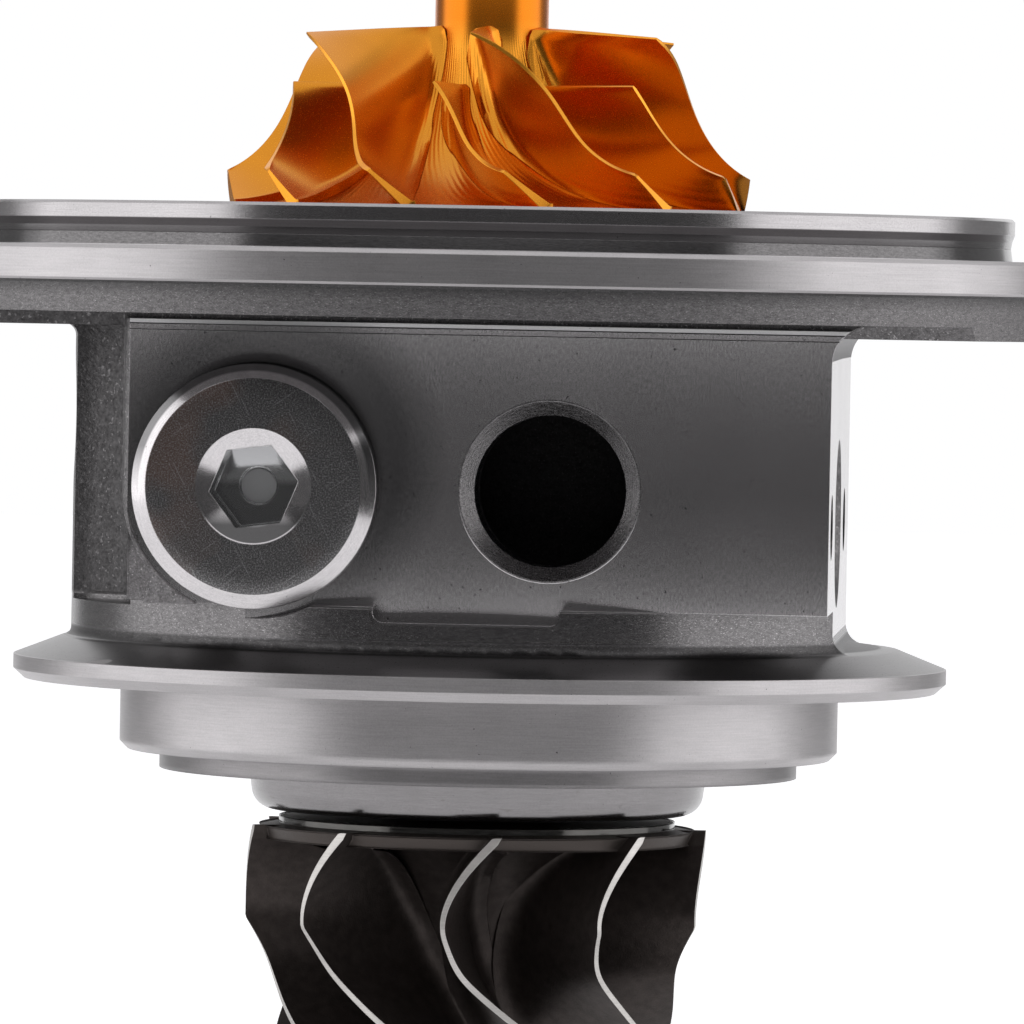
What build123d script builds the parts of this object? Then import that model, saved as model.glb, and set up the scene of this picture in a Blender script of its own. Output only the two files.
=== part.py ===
from build123d import *
import math
import os

# Turbocharger centre cartridge: bearing housing, rotor and everything between them.
# Z is the rotor axis and points towards the compressor. Z = 0 is the turbine joint face.
# The milled front face looks towards -Y and the oil drain face towards +X. Millimetres.

os.makedirs("parts", exist_ok=True)

# Running fits and seats
shaft_clearance = 0.03      # bush on journal, radial
bush_clearance = 0.05       # bush in housing, radial
bore_on_stub = 0.01         # rotor parts on the shaft's stub, radial
seat_clearance = 0.05       # fixed parts in their counterbores, radial
thrust_float = 0.04         # thrust bearing to each thrust face, axial
ring_side_clearance = 0.03  # seal ring in its groove, each side

# Turbine joint
vband_r = 49.9
vband_face_r = 48.8
vband_rim_bottom = 1.0
vband_rim_top = 2.5
vband_knee_r = 44.8
vband_knee_z = 4.5
vband_root_r = 39.6
vband_root_z = 5.1
pilot_r = 38.4
pilot_length = 7.4
pilot_chamfer = 0.8
step_r = 34.1
step_height = 2.0

# Housing body between the flanges
barrel_r = 43.8
front_face = 38.0
barrel_foot_r = 0.9
barrel_top_r = 1.3
side_face = 38.4
side_top_r = 4.0
side_bottom_r = 2.2
block_left = 34.9
block_bottom_z = 9.2
block_corner_r = 2.0
cast_proud = 0.5
recess_x = 44.0
recess_y = 18.0
recess_bottom_z = 8.6
recess_foot_x = 32.0
recess_foot_y = 30.0
recess_foot_gap = 0.4
recess_foot_r = 1.7
tab_left = -8.6
tab_right = 11.0
tab_bottom_z = 7.6
tab_corner_r = 1.2
undercut_height = 0.6

# Compressor flange
flange_bottom_z = 37.8
relief_depth = 1.4
relief_draft_deg = 25
relief_half_width = 54.8
relief_wall = 34.0
flange_cast_r = 63.0
flange_r = 63.5
flange_cast_top_z = 42.2
flange_band_z = 42.7
flange_top_z = 46.1
flange_chamfer = 0.4
register_r = 56.1
register_z = 47.5

# Backplate
spigot_r = 56.3
plate_top_z = 50.7
lip_chamfer = 0.3
lip_bottom_z = 49.0
waist_top_r = 56.0
waist_top_z = 48.2
waist_r = 55.9
plate_pilot_r = 44.95
plate_under_z = 43.0
plate_floor_gap = 0.2
wheel_recess_clearance = 0.6
wheel_back_gap = 0.55
seal_bore_r = 6.5
seal_bore_bottom_z = 44.6
plate_cavity_r = 11.0
o_ring_section_r = 0.97
o_ring_groove_z = 44.2
o_ring_groove_height = 2.4
o_ring_groove_depth = 1.95

# Backplate screws
screw_count = 4
screw_circle_r = 22.0
screw_r = 2.0
screw_head_r = 4.2
screw_clearance = 0.2
screw_length = 15.0
screw_key = 2.5
screw_socket_depth = 1.6
screw_start_deg = 45
screw_thread_clearance = 0.02

# Ports
mouth_angle = 90
port_z = 21.5
jacket_port_x = 9.5
jacket_port_r = 7.85
jacket_port_mouth_r = 9.3
rear_face = 42.0
rear_port_z = 17.0
rear_spot_r = 12.0
drain_y = -11.0
drain_z = 18.2
drain_r = 8.0
drain_mouth_r = 8.9
drain_bolt_spacing = 38.0
drain_bolt_r = 3.4
drain_bolt_depth = 13.0
inlet_face = 41.0
inlet_z = 28.0
inlet_r = 5.25
inlet_depth = 12.0
inlet_spot_r = 8.8
inlet_drill_r = 2.0

# Jacket and plug
jacket_wall_y = -21.5
jacket_front_y = -30.0
jacket_left_x = -30.0
jacket_right_x = 18.0
jacket_bottom_z = 12.0
jacket_top_z = 31.0
passage_inner_r = 19.5
passage_outer_r = 29.0
passage_bottom_z = 10.5
passage_top_z = 22.0
passage_corner_r = 2.0
passage_start_deg = 80
passage_sweep_deg = 160
plug_x = -20.8
plug_head_r = 12.65
plug_head_height = 3.0
plug_bevel = 1.5
plug_thread_r = 10.9
plug_hole_clearance = 0.1
plug_thread_length = 10.0
plug_dish_r = 6.0
plug_dish_depth = 0.7
plug_key = 8.0
plug_key_turn = 7.5
plug_socket_depth = 6.0
plug_drill_r = 1.95
plug_drill_depth = 0.8
washer_r = 12.3
washer_thickness = 1.0
spot_r = 13.7

# Shaft and bearings
journal_r = 4.0
stub_r = 2.8
shaft_shoulder_z = 36.0
shaft_top_z = 83.0
shaft_chamfer = 0.4
hub_r = 8.5
weld_z = -12.9
slinger_r = 7.2
slinger_bottom_z = -4.6
slinger_top_z = -3.4
slinger_lip_z = -2.4
journal_start_z = 1.2
seal_land_clearance = 0.1
land_bottom_z = -4.0
land_boss_r = 13.0
land_boss_z = -11.5
hot_cavity_r = 11.0
bush_bore_r = journal_r + shaft_clearance
bush_r = 6.7
bush_length = 7.0
bush_chamfer = 0.3
bush_hole_r = 1.0
bush_hole_count = 6
bush_float = 0.2
turbine_bush_z = 3.0
compressor_bush_z = 25.5
ring_thickness = 0.8
ring_inner_r = 5.9
ring_outer_r = 7.45
ring_gap_deg = 14
cavity_r = 11.5
cavity_bottom_z = 12.5
cavity_top_z = 23.0
slot_x = 10.5
slot_width_x = 4.0
slot_width_y = 8.0
gallery_x = -14.2
gallery_r = 1.2
bearing_feed_r = 1.0

# Thrust parts
thrust_pocket_z = 35.2
thrust_pocket_r = 12.0
thrust_seat_r = 15.9
collar_r = 9.5
collar_disc = 2.0
collar_hub_r = 5.5
thrust_plate = 2.94
thrust_groove_count = 6
thrust_groove_depth = 0.3
thrust_groove_width = 1.6
pin_r = 1.0
pin_circle_r = 14.2
pin_length = 6.0
pin_below = 3.5
pin_start_deg = 90
pin_clearance = 0.05
deflector_inner_r = 10.3
deflector_thickness = 1.0
flinger_disc = 1.6
flinger_sleeve_r = 6.4

# Seal rings
seal_ring_width = 1.14
seal_ring_gap_deg = 4
compressor_ring_z = 45.9
compressor_ring_inner_r = 5.45
compressor_groove_r = 5.2
turbine_ring_z = -8.9
turbine_ring_inner_r = 7.3
turbine_groove_r = 7.1

# Heat shield
shield_flange_r = 30.4
shield_thickness = 1.0
shield_recess_z = -8.2
shield_top_r = 24.5
shield_shoulder_r = 23.9
shield_floor_z = -13.6
shield_hole_r = 9.6
shield_bend_r = 1.3

# Compressor wheel
full_blade_count = 6
wheel_phase = 4.0
exducer_r = 28.0
inducer_r = 21.5
nose_r = 6.07
nose_top_z = 76.5
hub_top_z = 70.1
inducer_z = 69.1
hub_floor_z = 50.7
wheel_back_z = 49.45
exducer_tip_z = 54.5
splitter_z = 63.9
shroud_centre_r = 31.0
shroud_straight_z = 66.0
blade_tip_thickness = 0.55
blade_root_thickness = 1.5
blade_sink = 1.0
# Root: turn along the hub's quarter ellipse and wrap. Tip: share of the height and wrap. Degrees.
compressor_blade_stations = [
    (-5, -11.5, -0.07, -13.5),
    (5, -5.6, 0.09, 1.0),
    (14, -0.4, 0.28, 10.9),
    (28, 7.2, 0.52, 18.5),
    (46, 20.2, 0.76, 23.5),
    (66, 32.0, 0.90, 27.5),
    (90, 43.0, 1.00, 33.2),
    (100, 47.0, 1.05, 38.0),
]

# Turbine wheel
turbine_blade_count = 9
turbine_phase = 8.7
turbine_r = 24.6
turbine_top_z = -15.6
turbine_disc_r = 21.2
turbine_disc_top_z = -14.2
turbine_inlet_z = -25.3
shroud_mid_r = 22.3
shroud_mid_z = -29.5
turbine_outlet_r = 21.3
shroud_end_z = -35.6
turbine_bottom_z = -38.6
turbine_nose_r = 6.0
turbine_nose_z = -40.4
turbine_key = 8.5
turbine_key_z = -43.2
turbine_tip_thickness = 0.9
turbine_outlet_thickness = 0.55
turbine_root_thickness = 2.4
# Share of the wheel's height and wrap in degrees
turbine_blade_stations = [
    (-0.04, 1.8),
    (0.13, -6.5),
    (0.25, -10.6),
    (0.38, -12.6),
    (0.51, -11.3),
    (0.63, -7.8),
    (0.74, -0.8),
    (0.84, 7.0),
    (0.92, 14.0),
    (1.04, 25.0),
]

# Lock nut
nut_key = 9.0
nut_height = 5.0
nut_face_r = 5.6
nut_face_height = 0.9

# Places that follow from the sizes above
step_z = -(pilot_length + step_height)
relief_z = flange_bottom_z + relief_depth
cast_front = front_face + cast_proud
vband_slope = (vband_root_z - vband_knee_z) / (vband_knee_r - vband_root_r)
barrel_foot_z = vband_knee_z + (vband_knee_r - barrel_r) * vband_slope
stub_bore_r = stub_r + bore_on_stub
housing_bore_r = bush_r + bush_clearance
plate_bore_floor_z = plate_under_z - plate_floor_gap
o_ring_groove_r = plate_pilot_r - o_ring_groove_depth
thrust_seat_z = shaft_shoulder_z + collar_disc + thrust_float
thrust_top_z = thrust_seat_z + thrust_plate
deflector_top_z = thrust_top_z + deflector_thickness
flinger_bottom_z = thrust_top_z + thrust_float
wheel_recess_r = exducer_r + wheel_recess_clearance
wheel_recess_z = wheel_back_z - wheel_back_gap
seal_land_r = hub_r + seal_land_clearance
screw_end_z = wheel_recess_z - screw_length
gallery_deg = 180
plug_dish_angle = 2 * math.degrees(math.atan((plug_dish_r - plug_key / 2) / plug_dish_depth))
shroud_reach = (shroud_centre_r - exducer_r) / (shroud_centre_r - inducer_r)
shroud_drop = (shroud_straight_z - exducer_tip_z) / math.sqrt(1 - shroud_reach**2)
shroud_arc_deg = math.degrees(math.acos(shroud_reach))
retaining_ring_places = [
    turbine_bush_z - bush_float - ring_thickness,
    turbine_bush_z + bush_length + bush_float,
    compressor_bush_z - bush_float - ring_thickness,
    compressor_bush_z + bush_length + bush_float,
]

front_plane = Plane.XZ.offset(front_face)
side_plane = Plane.YZ.offset(side_face)
inlet_plane = Plane(origin=(-inlet_face, 0, 0), x_dir=(0, -1, 0), z_dir=(-1, 0, 0))
rear_plane = Plane(origin=(0, rear_face, 0), x_dir=(-1, 0, 0), z_dir=(0, 1, 0))
passage_plane = Plane.XZ.rotated((0, 0, passage_start_deg))


def polar(radius, degrees, height):
    """Point at an angle measured from the front (-Y) towards +X."""
    angle = math.radians(degrees)
    return Vector(radius * math.sin(angle), -radius * math.cos(angle), height)


# Cast body between the flanges: a barrel with rounded roots and the front block
with BuildPart() as cast_body:
    with BuildSketch(Plane.XZ):
        Polygon(
            (0, vband_knee_z),
            (vband_knee_r, vband_knee_z),
            (barrel_r, barrel_foot_z),
            (barrel_r, flange_bottom_z),
            (barrel_r + 2 * barrel_top_r, flange_bottom_z),
            (barrel_r + 2 * barrel_top_r, relief_z),
            (0, relief_z),
            align=None,
        )
        fillet(vertices().sort_by_distance((barrel_r, barrel_foot_z))[0], barrel_foot_r)
        fillet(vertices().sort_by_distance((barrel_r, flange_bottom_z))[0], barrel_top_r)
    revolve(axis=Axis.Z)
    with BuildSketch(Plane.XY.offset(block_bottom_z)):
        with Locations(((barrel_r - block_left) / 2, -cast_front / 2)):
            Rectangle(barrel_r + block_left, cast_front)
        fillet(vertices().sort_by_distance((-block_left, -cast_front))[0], block_corner_r)
    extrude(amount=relief_z - block_bottom_z)
    # Flat for the drain face, rounded where it runs out under the flange and above the V flange
    with BuildSketch(Plane.XZ):
        with Locations((side_face + barrel_r / 2, (vband_knee_z + relief_z) / 2)):
            Rectangle(barrel_r, relief_z - vband_knee_z)
        fillet(vertices().sort_by_distance((side_face, relief_z))[0], side_top_r)
        fillet(vertices().sort_by_distance((side_face, vband_knee_z))[0], side_bottom_r)
    extrude(amount=flange_r, both=True, mode=Mode.SUBTRACT)

# Bearing housing: two turned flanges on the cast body, whose front face is milled
with BuildPart() as housing:
    with BuildSketch(Plane.XZ):
        Polygon(
            (0, land_boss_z),
            (land_boss_r, land_boss_z),
            (land_boss_r, shield_recess_z),
            (shield_flange_r + seat_clearance, shield_recess_z),
            (shield_flange_r + seat_clearance, step_z),
            (step_r, step_z),
            (step_r, -pilot_length),
            (pilot_r - pilot_chamfer, -pilot_length),
            (pilot_r, pilot_chamfer - pilot_length),
            (pilot_r, 0),
            (vband_face_r, 0),
            (vband_r, vband_rim_bottom),
            (vband_r, vband_rim_top),
            (vband_knee_r, vband_knee_z),
            (vband_root_r, vband_root_z),
            (0, vband_root_z),
            align=None,
        )
    revolve(axis=Axis.Z)
    with BuildSketch(Plane.XZ):
        Polygon(
            (0, flange_bottom_z),
            (flange_cast_r, flange_bottom_z),
            (flange_cast_r, flange_cast_top_z),
            (flange_r, flange_band_z),
            (flange_r, flange_top_z - flange_chamfer),
            (flange_r - flange_chamfer, flange_top_z),
            (register_r, flange_top_z),
            (waist_r, register_z),
            (0, register_z),
            align=None,
        )
    revolve(axis=Axis.Z)
    # Front relief under the flange, left by the cutter that mills the front face
    with BuildSketch(Plane.XY.offset(flange_bottom_z)):
        with Locations((0, -relief_wall - flange_r / 2)):
            Rectangle(2 * relief_half_width, flange_r)
    extrude(amount=relief_depth, taper=relief_draft_deg, mode=Mode.SUBTRACT)
    add(cast_body.part)
    # Milled front face, with its tab at the bottom and the cutter's round path at the plug
    with BuildSketch(front_plane):
        with Locations((0, (block_bottom_z + relief_z) / 2)):
            Rectangle(2 * barrel_r, relief_z - block_bottom_z)
        with Locations(((tab_left + tab_right) / 2, tab_bottom_z + spot_r / 2)):
            RectangleRounded(tab_right - tab_left, spot_r, tab_corner_r)
        with Locations((plug_x - spot_r, (block_bottom_z + port_z) / 2)):
            Rectangle(2 * spot_r, port_z - block_bottom_z, mode=Mode.SUBTRACT)
        with Locations((plug_x, port_z)):
            Circle(spot_r)
    extrude(amount=flange_r - front_face, mode=Mode.SUBTRACT)
    # Cast recess beside the block, a rounded channel that ends above the V flange
    with BuildSketch(Plane.XY.offset(recess_bottom_z)):
        with Locations((-recess_x, -recess_y)):
            Circle(recess_x - block_left)
        with Locations((-recess_x, -recess_y - barrel_r / 2)):
            Rectangle(2 * (recess_x - block_left), barrel_r)
    extrude(amount=flange_bottom_z - recess_bottom_z, mode=Mode.SUBTRACT)
    # Wider foot of the recess, which keeps clear of the cutter's path at the plug
    with BuildSketch(Plane.XZ.offset(recess_foot_y)):
        with Locations((-recess_foot_x - barrel_r / 2, (recess_bottom_z + port_z) / 2)):
            Rectangle(barrel_r, port_z - recess_bottom_z)
        fillet(vertices().sort_by_distance((-recess_foot_x, recess_bottom_z))[0], recess_foot_r)
        with Locations((plug_x, port_z)):
            Circle(spot_r + recess_foot_gap, mode=Mode.SUBTRACT)
    extrude(amount=barrel_r - recess_foot_y, mode=Mode.SUBTRACT)
    # Undercut along the top of the front face
    with BuildSketch(front_plane):
        with Locations((0, relief_z - undercut_height / 2)):
            Rectangle(2 * barrel_r, undercut_height)
    extrude(amount=-undercut_height, mode=Mode.SUBTRACT)
    # Bearing bore, thrust pocket, backplate seat and the hot end's cavity
    with BuildSketch(Plane.XZ):
        Polygon(
            (0, land_boss_z),
            (seal_land_r, land_boss_z),
            (seal_land_r, land_bottom_z),
            (hot_cavity_r, land_bottom_z),
            (hot_cavity_r, journal_start_z),
            (housing_bore_r, journal_start_z),
            (housing_bore_r, cavity_bottom_z),
            (cavity_r, cavity_bottom_z),
            (cavity_r, cavity_top_z),
            (housing_bore_r, cavity_top_z),
            (housing_bore_r, thrust_pocket_z),
            (thrust_pocket_r, thrust_pocket_z),
            (thrust_pocket_r, thrust_seat_z),
            (thrust_seat_r + seat_clearance, thrust_seat_z),
            (thrust_seat_r + seat_clearance, plate_bore_floor_z),
            (plate_pilot_r + seat_clearance, plate_bore_floor_z),
            (plate_pilot_r + seat_clearance, register_z),
            (0, register_z),
            align=None,
        )
    revolve(axis=Axis.Z, mode=Mode.SUBTRACT)
    # Grooves for the bushes' retaining rings
    with BuildSketch(Plane.XZ):
        for ring_z in retaining_ring_places:
            with Locations((housing_bore_r, ring_z + ring_thickness / 2)):
                Rectangle(
                    2 * (ring_outer_r + seat_clearance - housing_bore_r),
                    ring_thickness + seat_clearance,
                )
    revolve(axis=Axis.Z, mode=Mode.SUBTRACT)
    # Drain slot from the thrust pocket past both bushes to the hot end
    with BuildSketch(Plane.XY.offset(land_bottom_z / 2)):
        with Locations((slot_x, 0)):
            Rectangle(slot_width_x, slot_width_y)
    extrude(amount=thrust_seat_z - land_bottom_z / 2, mode=Mode.SUBTRACT)
    # Coolant jacket: a pocket behind the front face and a passage round to the rear port
    with BuildSketch(Plane.XY.offset(jacket_bottom_z)):
        with Locations(((jacket_left_x + jacket_right_x) / 2, (jacket_front_y + jacket_wall_y) / 2)):
            RectangleRounded(
                jacket_right_x - jacket_left_x,
                jacket_wall_y - jacket_front_y,
                passage_corner_r,
            )
    extrude(amount=jacket_top_z - jacket_bottom_z, mode=Mode.SUBTRACT)
    with BuildSketch(passage_plane):
        with Locations((
            (passage_inner_r + passage_outer_r) / 2,
            (passage_bottom_z + passage_top_z) / 2,
        )):
            RectangleRounded(
                passage_outer_r - passage_inner_r,
                passage_top_z - passage_bottom_z,
                passage_corner_r,
            )
    revolve(axis=Axis.Z, revolution_arc=passage_sweep_deg, mode=Mode.SUBTRACT)
    # Front face: open coolant port and the plug's threaded hole
    with Locations(front_plane):
        with Locations((jacket_port_x, port_z)):
            CounterSinkHole(
                jacket_port_r,
                jacket_port_mouth_r,
                front_face + jacket_wall_y,
                mouth_angle,
            )
        with Locations((plug_x, port_z)):
            Hole(plug_thread_r + plug_hole_clearance, front_face + jacket_wall_y)
    # Rear coolant port in its spotface
    with BuildSketch(rear_plane):
        with Locations((0, rear_port_z)):
            Circle(rear_spot_r)
    extrude(amount=barrel_r - rear_face, mode=Mode.SUBTRACT)
    with Locations(rear_plane):
        with Locations((0, rear_port_z)):
            CounterSinkHole(
                jacket_port_r,
                jacket_port_mouth_r,
                rear_face - passage_inner_r - passage_corner_r,
                mouth_angle,
            )
    # Side face: oil drain and its two bolt holes
    with Locations(side_plane):
        with Locations((drain_y, drain_z)):
            CounterSinkHole(
                drain_r,
                drain_mouth_r,
                side_face - slot_x + slot_width_x / 4,
                mouth_angle,
            )
        with Locations((drain_y, drain_z)):
            with GridLocations(drain_bolt_spacing, 0, 2, 1):
                Hole(drain_bolt_r, drain_bolt_depth)
    # Oil inlet thread in its spotface, with the drilling to the gallery
    with BuildSketch(inlet_plane):
        with Locations((0, inlet_z)):
            Circle(inlet_spot_r)
    extrude(amount=barrel_r - inlet_face, mode=Mode.SUBTRACT)
    with Locations(inlet_plane):
        with Locations((0, inlet_z)):
            Hole(inlet_r, inlet_depth)
            Hole(inlet_drill_r, inlet_face + gallery_x - inlet_drill_r)
    # Oil gallery beside the bushes, with a cross drilling to each
    with Locations(Plane.XY.offset(thrust_seat_z)):
        with Locations((gallery_x, 0)):
            Hole(gallery_r, thrust_seat_z - turbine_bush_z)
    with BuildSketch(Plane.YZ.offset(gallery_x)):
        for bush_z in (turbine_bush_z, compressor_bush_z):
            with Locations((0, bush_z + bush_length / 2)):
                Circle(bearing_feed_r)
    extrude(amount=-gallery_x - housing_bore_r + bearing_feed_r, mode=Mode.SUBTRACT)
    # Tapped holes for the backplate's screws and dowel holes for the thrust bearing
    with Locations(Plane.XY.offset(plate_bore_floor_z)):
        with PolarLocations(screw_circle_r, screw_count, screw_start_deg):
            Hole(screw_r + screw_thread_clearance, plate_bore_floor_z - screw_end_z + screw_r)
    with Locations(Plane.XY.offset(thrust_seat_z)):
        with PolarLocations(pin_circle_r, 2, pin_start_deg):
            Hole(pin_r + pin_clearance, pin_below + pin_clearance)
housing.part.label = "bearing_housing"
export_step(housing.part, "parts/bearing_housing.step")

# Backplate: turned disc with the spigot lip, the wheel's recess and the seal bore
with BuildPart() as backplate:
    with BuildSketch(Plane.XZ):
        Polygon(
            (seal_bore_r, seal_bore_bottom_z),
            (plate_cavity_r, seal_bore_bottom_z),
            (plate_cavity_r, deflector_top_z),
            (thrust_seat_r, deflector_top_z),
            (thrust_seat_r, plate_under_z),
            (plate_pilot_r, plate_under_z),
            (plate_pilot_r, o_ring_groove_z),
            (o_ring_groove_r, o_ring_groove_z),
            (o_ring_groove_r, o_ring_groove_z + o_ring_groove_height),
            (plate_pilot_r, o_ring_groove_z + o_ring_groove_height),
            (plate_pilot_r, register_z),
            (waist_r, register_z),
            (waist_top_r, waist_top_z),
            (spigot_r, lip_bottom_z),
            (spigot_r, plate_top_z - lip_chamfer),
            (spigot_r - lip_chamfer, plate_top_z),
            (wheel_recess_r, plate_top_z),
            (wheel_recess_r, wheel_recess_z),
            (seal_bore_r, wheel_recess_z),
            align=None,
        )
    revolve(axis=Axis.Z)
    with Locations(Plane.XY.offset(wheel_recess_z)):
        with PolarLocations(screw_circle_r, screw_count, screw_start_deg):
            CounterSinkHole(
                screw_r + screw_clearance,
                screw_head_r + screw_clearance,
                wheel_recess_z - plate_under_z,
                mouth_angle,
            )
backplate.part.label = "compressor_backplate"
export_step(backplate.part, "parts/compressor_backplate.step")

# Backplate's rubber ring
with BuildPart() as o_ring:
    with BuildSketch(Plane.XZ):
        with Locations((
            (o_ring_groove_r + plate_pilot_r) / 2,
            o_ring_groove_z + o_ring_groove_height / 2,
        )):
            Circle(o_ring_section_r)
    revolve(axis=Axis.Z)
o_ring.part.label = "backplate_o_ring"
export_step(o_ring.part, "parts/backplate_o_ring.step")

# Countersunk screws under the wheel
with BuildPart() as screw:
    with BuildSketch(Plane.XZ):
        Polygon(
            (0, -screw_length),
            (screw_r, -screw_length),
            (screw_r, screw_r - screw_head_r),
            (screw_head_r, 0),
            (0, 0),
            align=None,
        )
    revolve(axis=Axis.Z)
    with BuildSketch(Plane.XY):
        RegularPolygon(screw_key / 2, 6, major_radius=False)
    extrude(amount=-screw_socket_depth, mode=Mode.SUBTRACT)
with BuildPart() as screws:
    with Locations(Plane.XY.offset(wheel_recess_z)):
        with PolarLocations(screw_circle_r, screw_count, screw_start_deg):
            add(screw.part)
screws.part.label = "backplate_screws"
export_step(screws.part, "parts/backplate_screws.step")

# Jacket plug: flat head with a bevelled rim, a dished centre and a hexagon socket
with BuildPart() as plug:
    with BuildSketch(Plane.XY):
        Circle(plug_head_r)
    extrude(amount=plug_head_height)
    chamfer(faces().sort_by(Axis.Z)[-1].edges(), length=plug_bevel / 2, length2=plug_bevel)
    with BuildSketch(Plane.XY):
        Circle(plug_thread_r)
    extrude(amount=-plug_thread_length)
    chamfer(faces().sort_by(Axis.Z)[0].edges(), length=plug_bevel / 2)
    with Locations((0, 0, plug_head_height)):
        CounterSinkHole(plug_key / 2, plug_dish_r, plug_dish_depth, plug_dish_angle)
    with BuildSketch(Plane.XY.offset(plug_head_height)):
        RegularPolygon(plug_key / 2, 6, major_radius=False, rotation=plug_key_turn)
    extrude(amount=-plug_socket_depth, mode=Mode.SUBTRACT)
    with Locations((0, 0, plug_head_height - plug_socket_depth)):
        Hole(plug_drill_r, plug_drill_depth)
with BuildPart() as jacket_plug:
    with Locations(front_plane.offset(washer_thickness)):
        with Locations((plug_x, port_z)):
            add(plug.part)
jacket_plug.part.label = "jacket_plug"
export_step(jacket_plug.part, "parts/jacket_plug.step")

# Sealing washer under the plug's head
with BuildPart() as plug_washer:
    with BuildSketch(front_plane):
        with Locations((plug_x, port_z)):
            Circle(washer_r)
            Circle(plug_thread_r + plug_hole_clearance, mode=Mode.SUBTRACT)
    extrude(amount=washer_thickness)
plug_washer.part.label = "jacket_plug_washer"
export_step(plug_washer.part, "parts/jacket_plug_washer.step")

# Heat shield: pressed dish that sits in the housing's recess
with BuildPart() as shield:
    with BuildSketch(Plane.XZ):
        Polygon(
            (shield_hole_r, shield_floor_z),
            (shield_shoulder_r, shield_floor_z),
            (shield_top_r, shield_recess_z - shield_thickness),
            (shield_flange_r, shield_recess_z - shield_thickness),
            (shield_flange_r, shield_recess_z),
            (shield_top_r - shield_thickness, shield_recess_z),
            (shield_shoulder_r - shield_thickness, shield_floor_z + shield_thickness),
            (shield_hole_r, shield_floor_z + shield_thickness),
            align=None,
        )
        outer_bend = vertices().sort_by_distance((shield_shoulder_r, shield_floor_z))[0]
        fillet(outer_bend, shield_bend_r + shield_thickness)
        inner_place = (shield_shoulder_r - shield_thickness, shield_floor_z + shield_thickness)
        fillet(vertices().sort_by_distance(inner_place)[0], shield_bend_r)
    revolve(axis=Axis.Z)
shield.part.label = "heat_shield"
export_step(shield.part, "parts/heat_shield.step")

# Shaft: hot-end hub with its ring groove and oil slinger, journals and the long stub
with BuildPart() as shaft:
    with BuildSketch(Plane.XZ):
        Polygon(
            (0, weld_z),
            (hub_r, weld_z),
            (hub_r, turbine_ring_z - ring_side_clearance),
            (turbine_groove_r, turbine_ring_z - ring_side_clearance),
            (turbine_groove_r, turbine_ring_z + seal_ring_width + ring_side_clearance),
            (hub_r, turbine_ring_z + seal_ring_width + ring_side_clearance),
            (hub_r, slinger_bottom_z),
            (slinger_r, slinger_bottom_z),
            (slinger_r, slinger_top_z),
            (hub_r, slinger_top_z),
            (hub_r, slinger_lip_z),
            (journal_r, journal_start_z),
            (journal_r, shaft_shoulder_z),
            (stub_r, shaft_shoulder_z),
            (stub_r, shaft_top_z - shaft_chamfer),
            (stub_r - shaft_chamfer, shaft_top_z),
            (0, shaft_top_z),
            align=None,
        )
    revolve(axis=Axis.Z)
shaft.part.label = "rotor_shaft"
export_step(shaft.part, "parts/rotor_shaft.step")

# Floating bushes, cross-drilled for oil
for bush_name, bush_z in (
    ("turbine_journal_bearing", turbine_bush_z),
    ("compressor_journal_bearing", compressor_bush_z),
):
    with BuildPart() as bush:
        with BuildSketch(Plane.XY.offset(bush_z)):
            Circle(bush_r)
            Circle(bush_bore_r, mode=Mode.SUBTRACT)
        extrude(amount=bush_length)
        chamfer(edges().filter_by(GeomType.CIRCLE), bush_chamfer)
        with Locations((0, 0, bush_z + bush_length / 2)):
            with PolarLocations(0, bush_hole_count, gallery_deg):
                Cylinder(
                    bush_hole_r,
                    bush_r,
                    rotation=(0, 90, 0),
                    align=(Align.CENTER, Align.CENTER, Align.MIN),
                    mode=Mode.SUBTRACT,
                )
    bush.part.label = bush_name
    export_step(bush.part, f"parts/{bush_name}.step")

# Spring rings at both ends of each bush
for number, ring_z in enumerate(retaining_ring_places, 1):
    with BuildPart() as retaining_ring:
        with BuildSketch(Plane.XZ):
            with Locations(((ring_inner_r + ring_outer_r) / 2, ring_z + ring_thickness / 2)):
                Rectangle(ring_outer_r - ring_inner_r, ring_thickness)
        revolve(axis=Axis.Z, revolution_arc=360 - ring_gap_deg)
    retaining_ring.part.label = f"bearing_retaining_ring_{number}"
    export_step(retaining_ring.part, f"parts/bearing_retaining_ring_{number}.step")

# Thrust collar on the shaft's shoulder
with BuildPart() as collar:
    with BuildSketch(Plane.XY.offset(shaft_shoulder_z)):
        Circle(collar_r)
    extrude(amount=collar_disc)
    with BuildSketch(Plane.XY.offset(shaft_shoulder_z)):
        Circle(collar_hub_r)
    extrude(amount=flinger_bottom_z - shaft_shoulder_z)
    with Locations((0, 0, flinger_bottom_z)):
        Hole(stub_bore_r)
collar.part.label = "thrust_collar"
export_step(collar.part, "parts/thrust_collar.step")

# Thrust bearing: bronze plate with oil grooves on both faces and dowel holes
with BuildPart() as thrust_bearing:
    with BuildSketch(Plane.XY.offset(thrust_seat_z)):
        Circle(thrust_seat_r)
        Circle(collar_hub_r + bush_clearance, mode=Mode.SUBTRACT)
    extrude(amount=thrust_plate)
    for groove_z, inward in ((thrust_seat_z, 1), (thrust_top_z, -1)):
        with BuildSketch(Plane.XY.offset(groove_z)):
            with PolarLocations((collar_hub_r + collar_r) / 2, thrust_groove_count):
                Rectangle(collar_r - collar_hub_r, thrust_groove_width)
        extrude(amount=inward * thrust_groove_depth, mode=Mode.SUBTRACT)
    with Locations((0, 0, thrust_top_z)):
        with PolarLocations(pin_circle_r, 2, pin_start_deg):
            Hole(pin_r + pin_clearance)
thrust_bearing.part.label = "thrust_bearing"
export_step(thrust_bearing.part, "parts/thrust_bearing.step")

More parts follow.
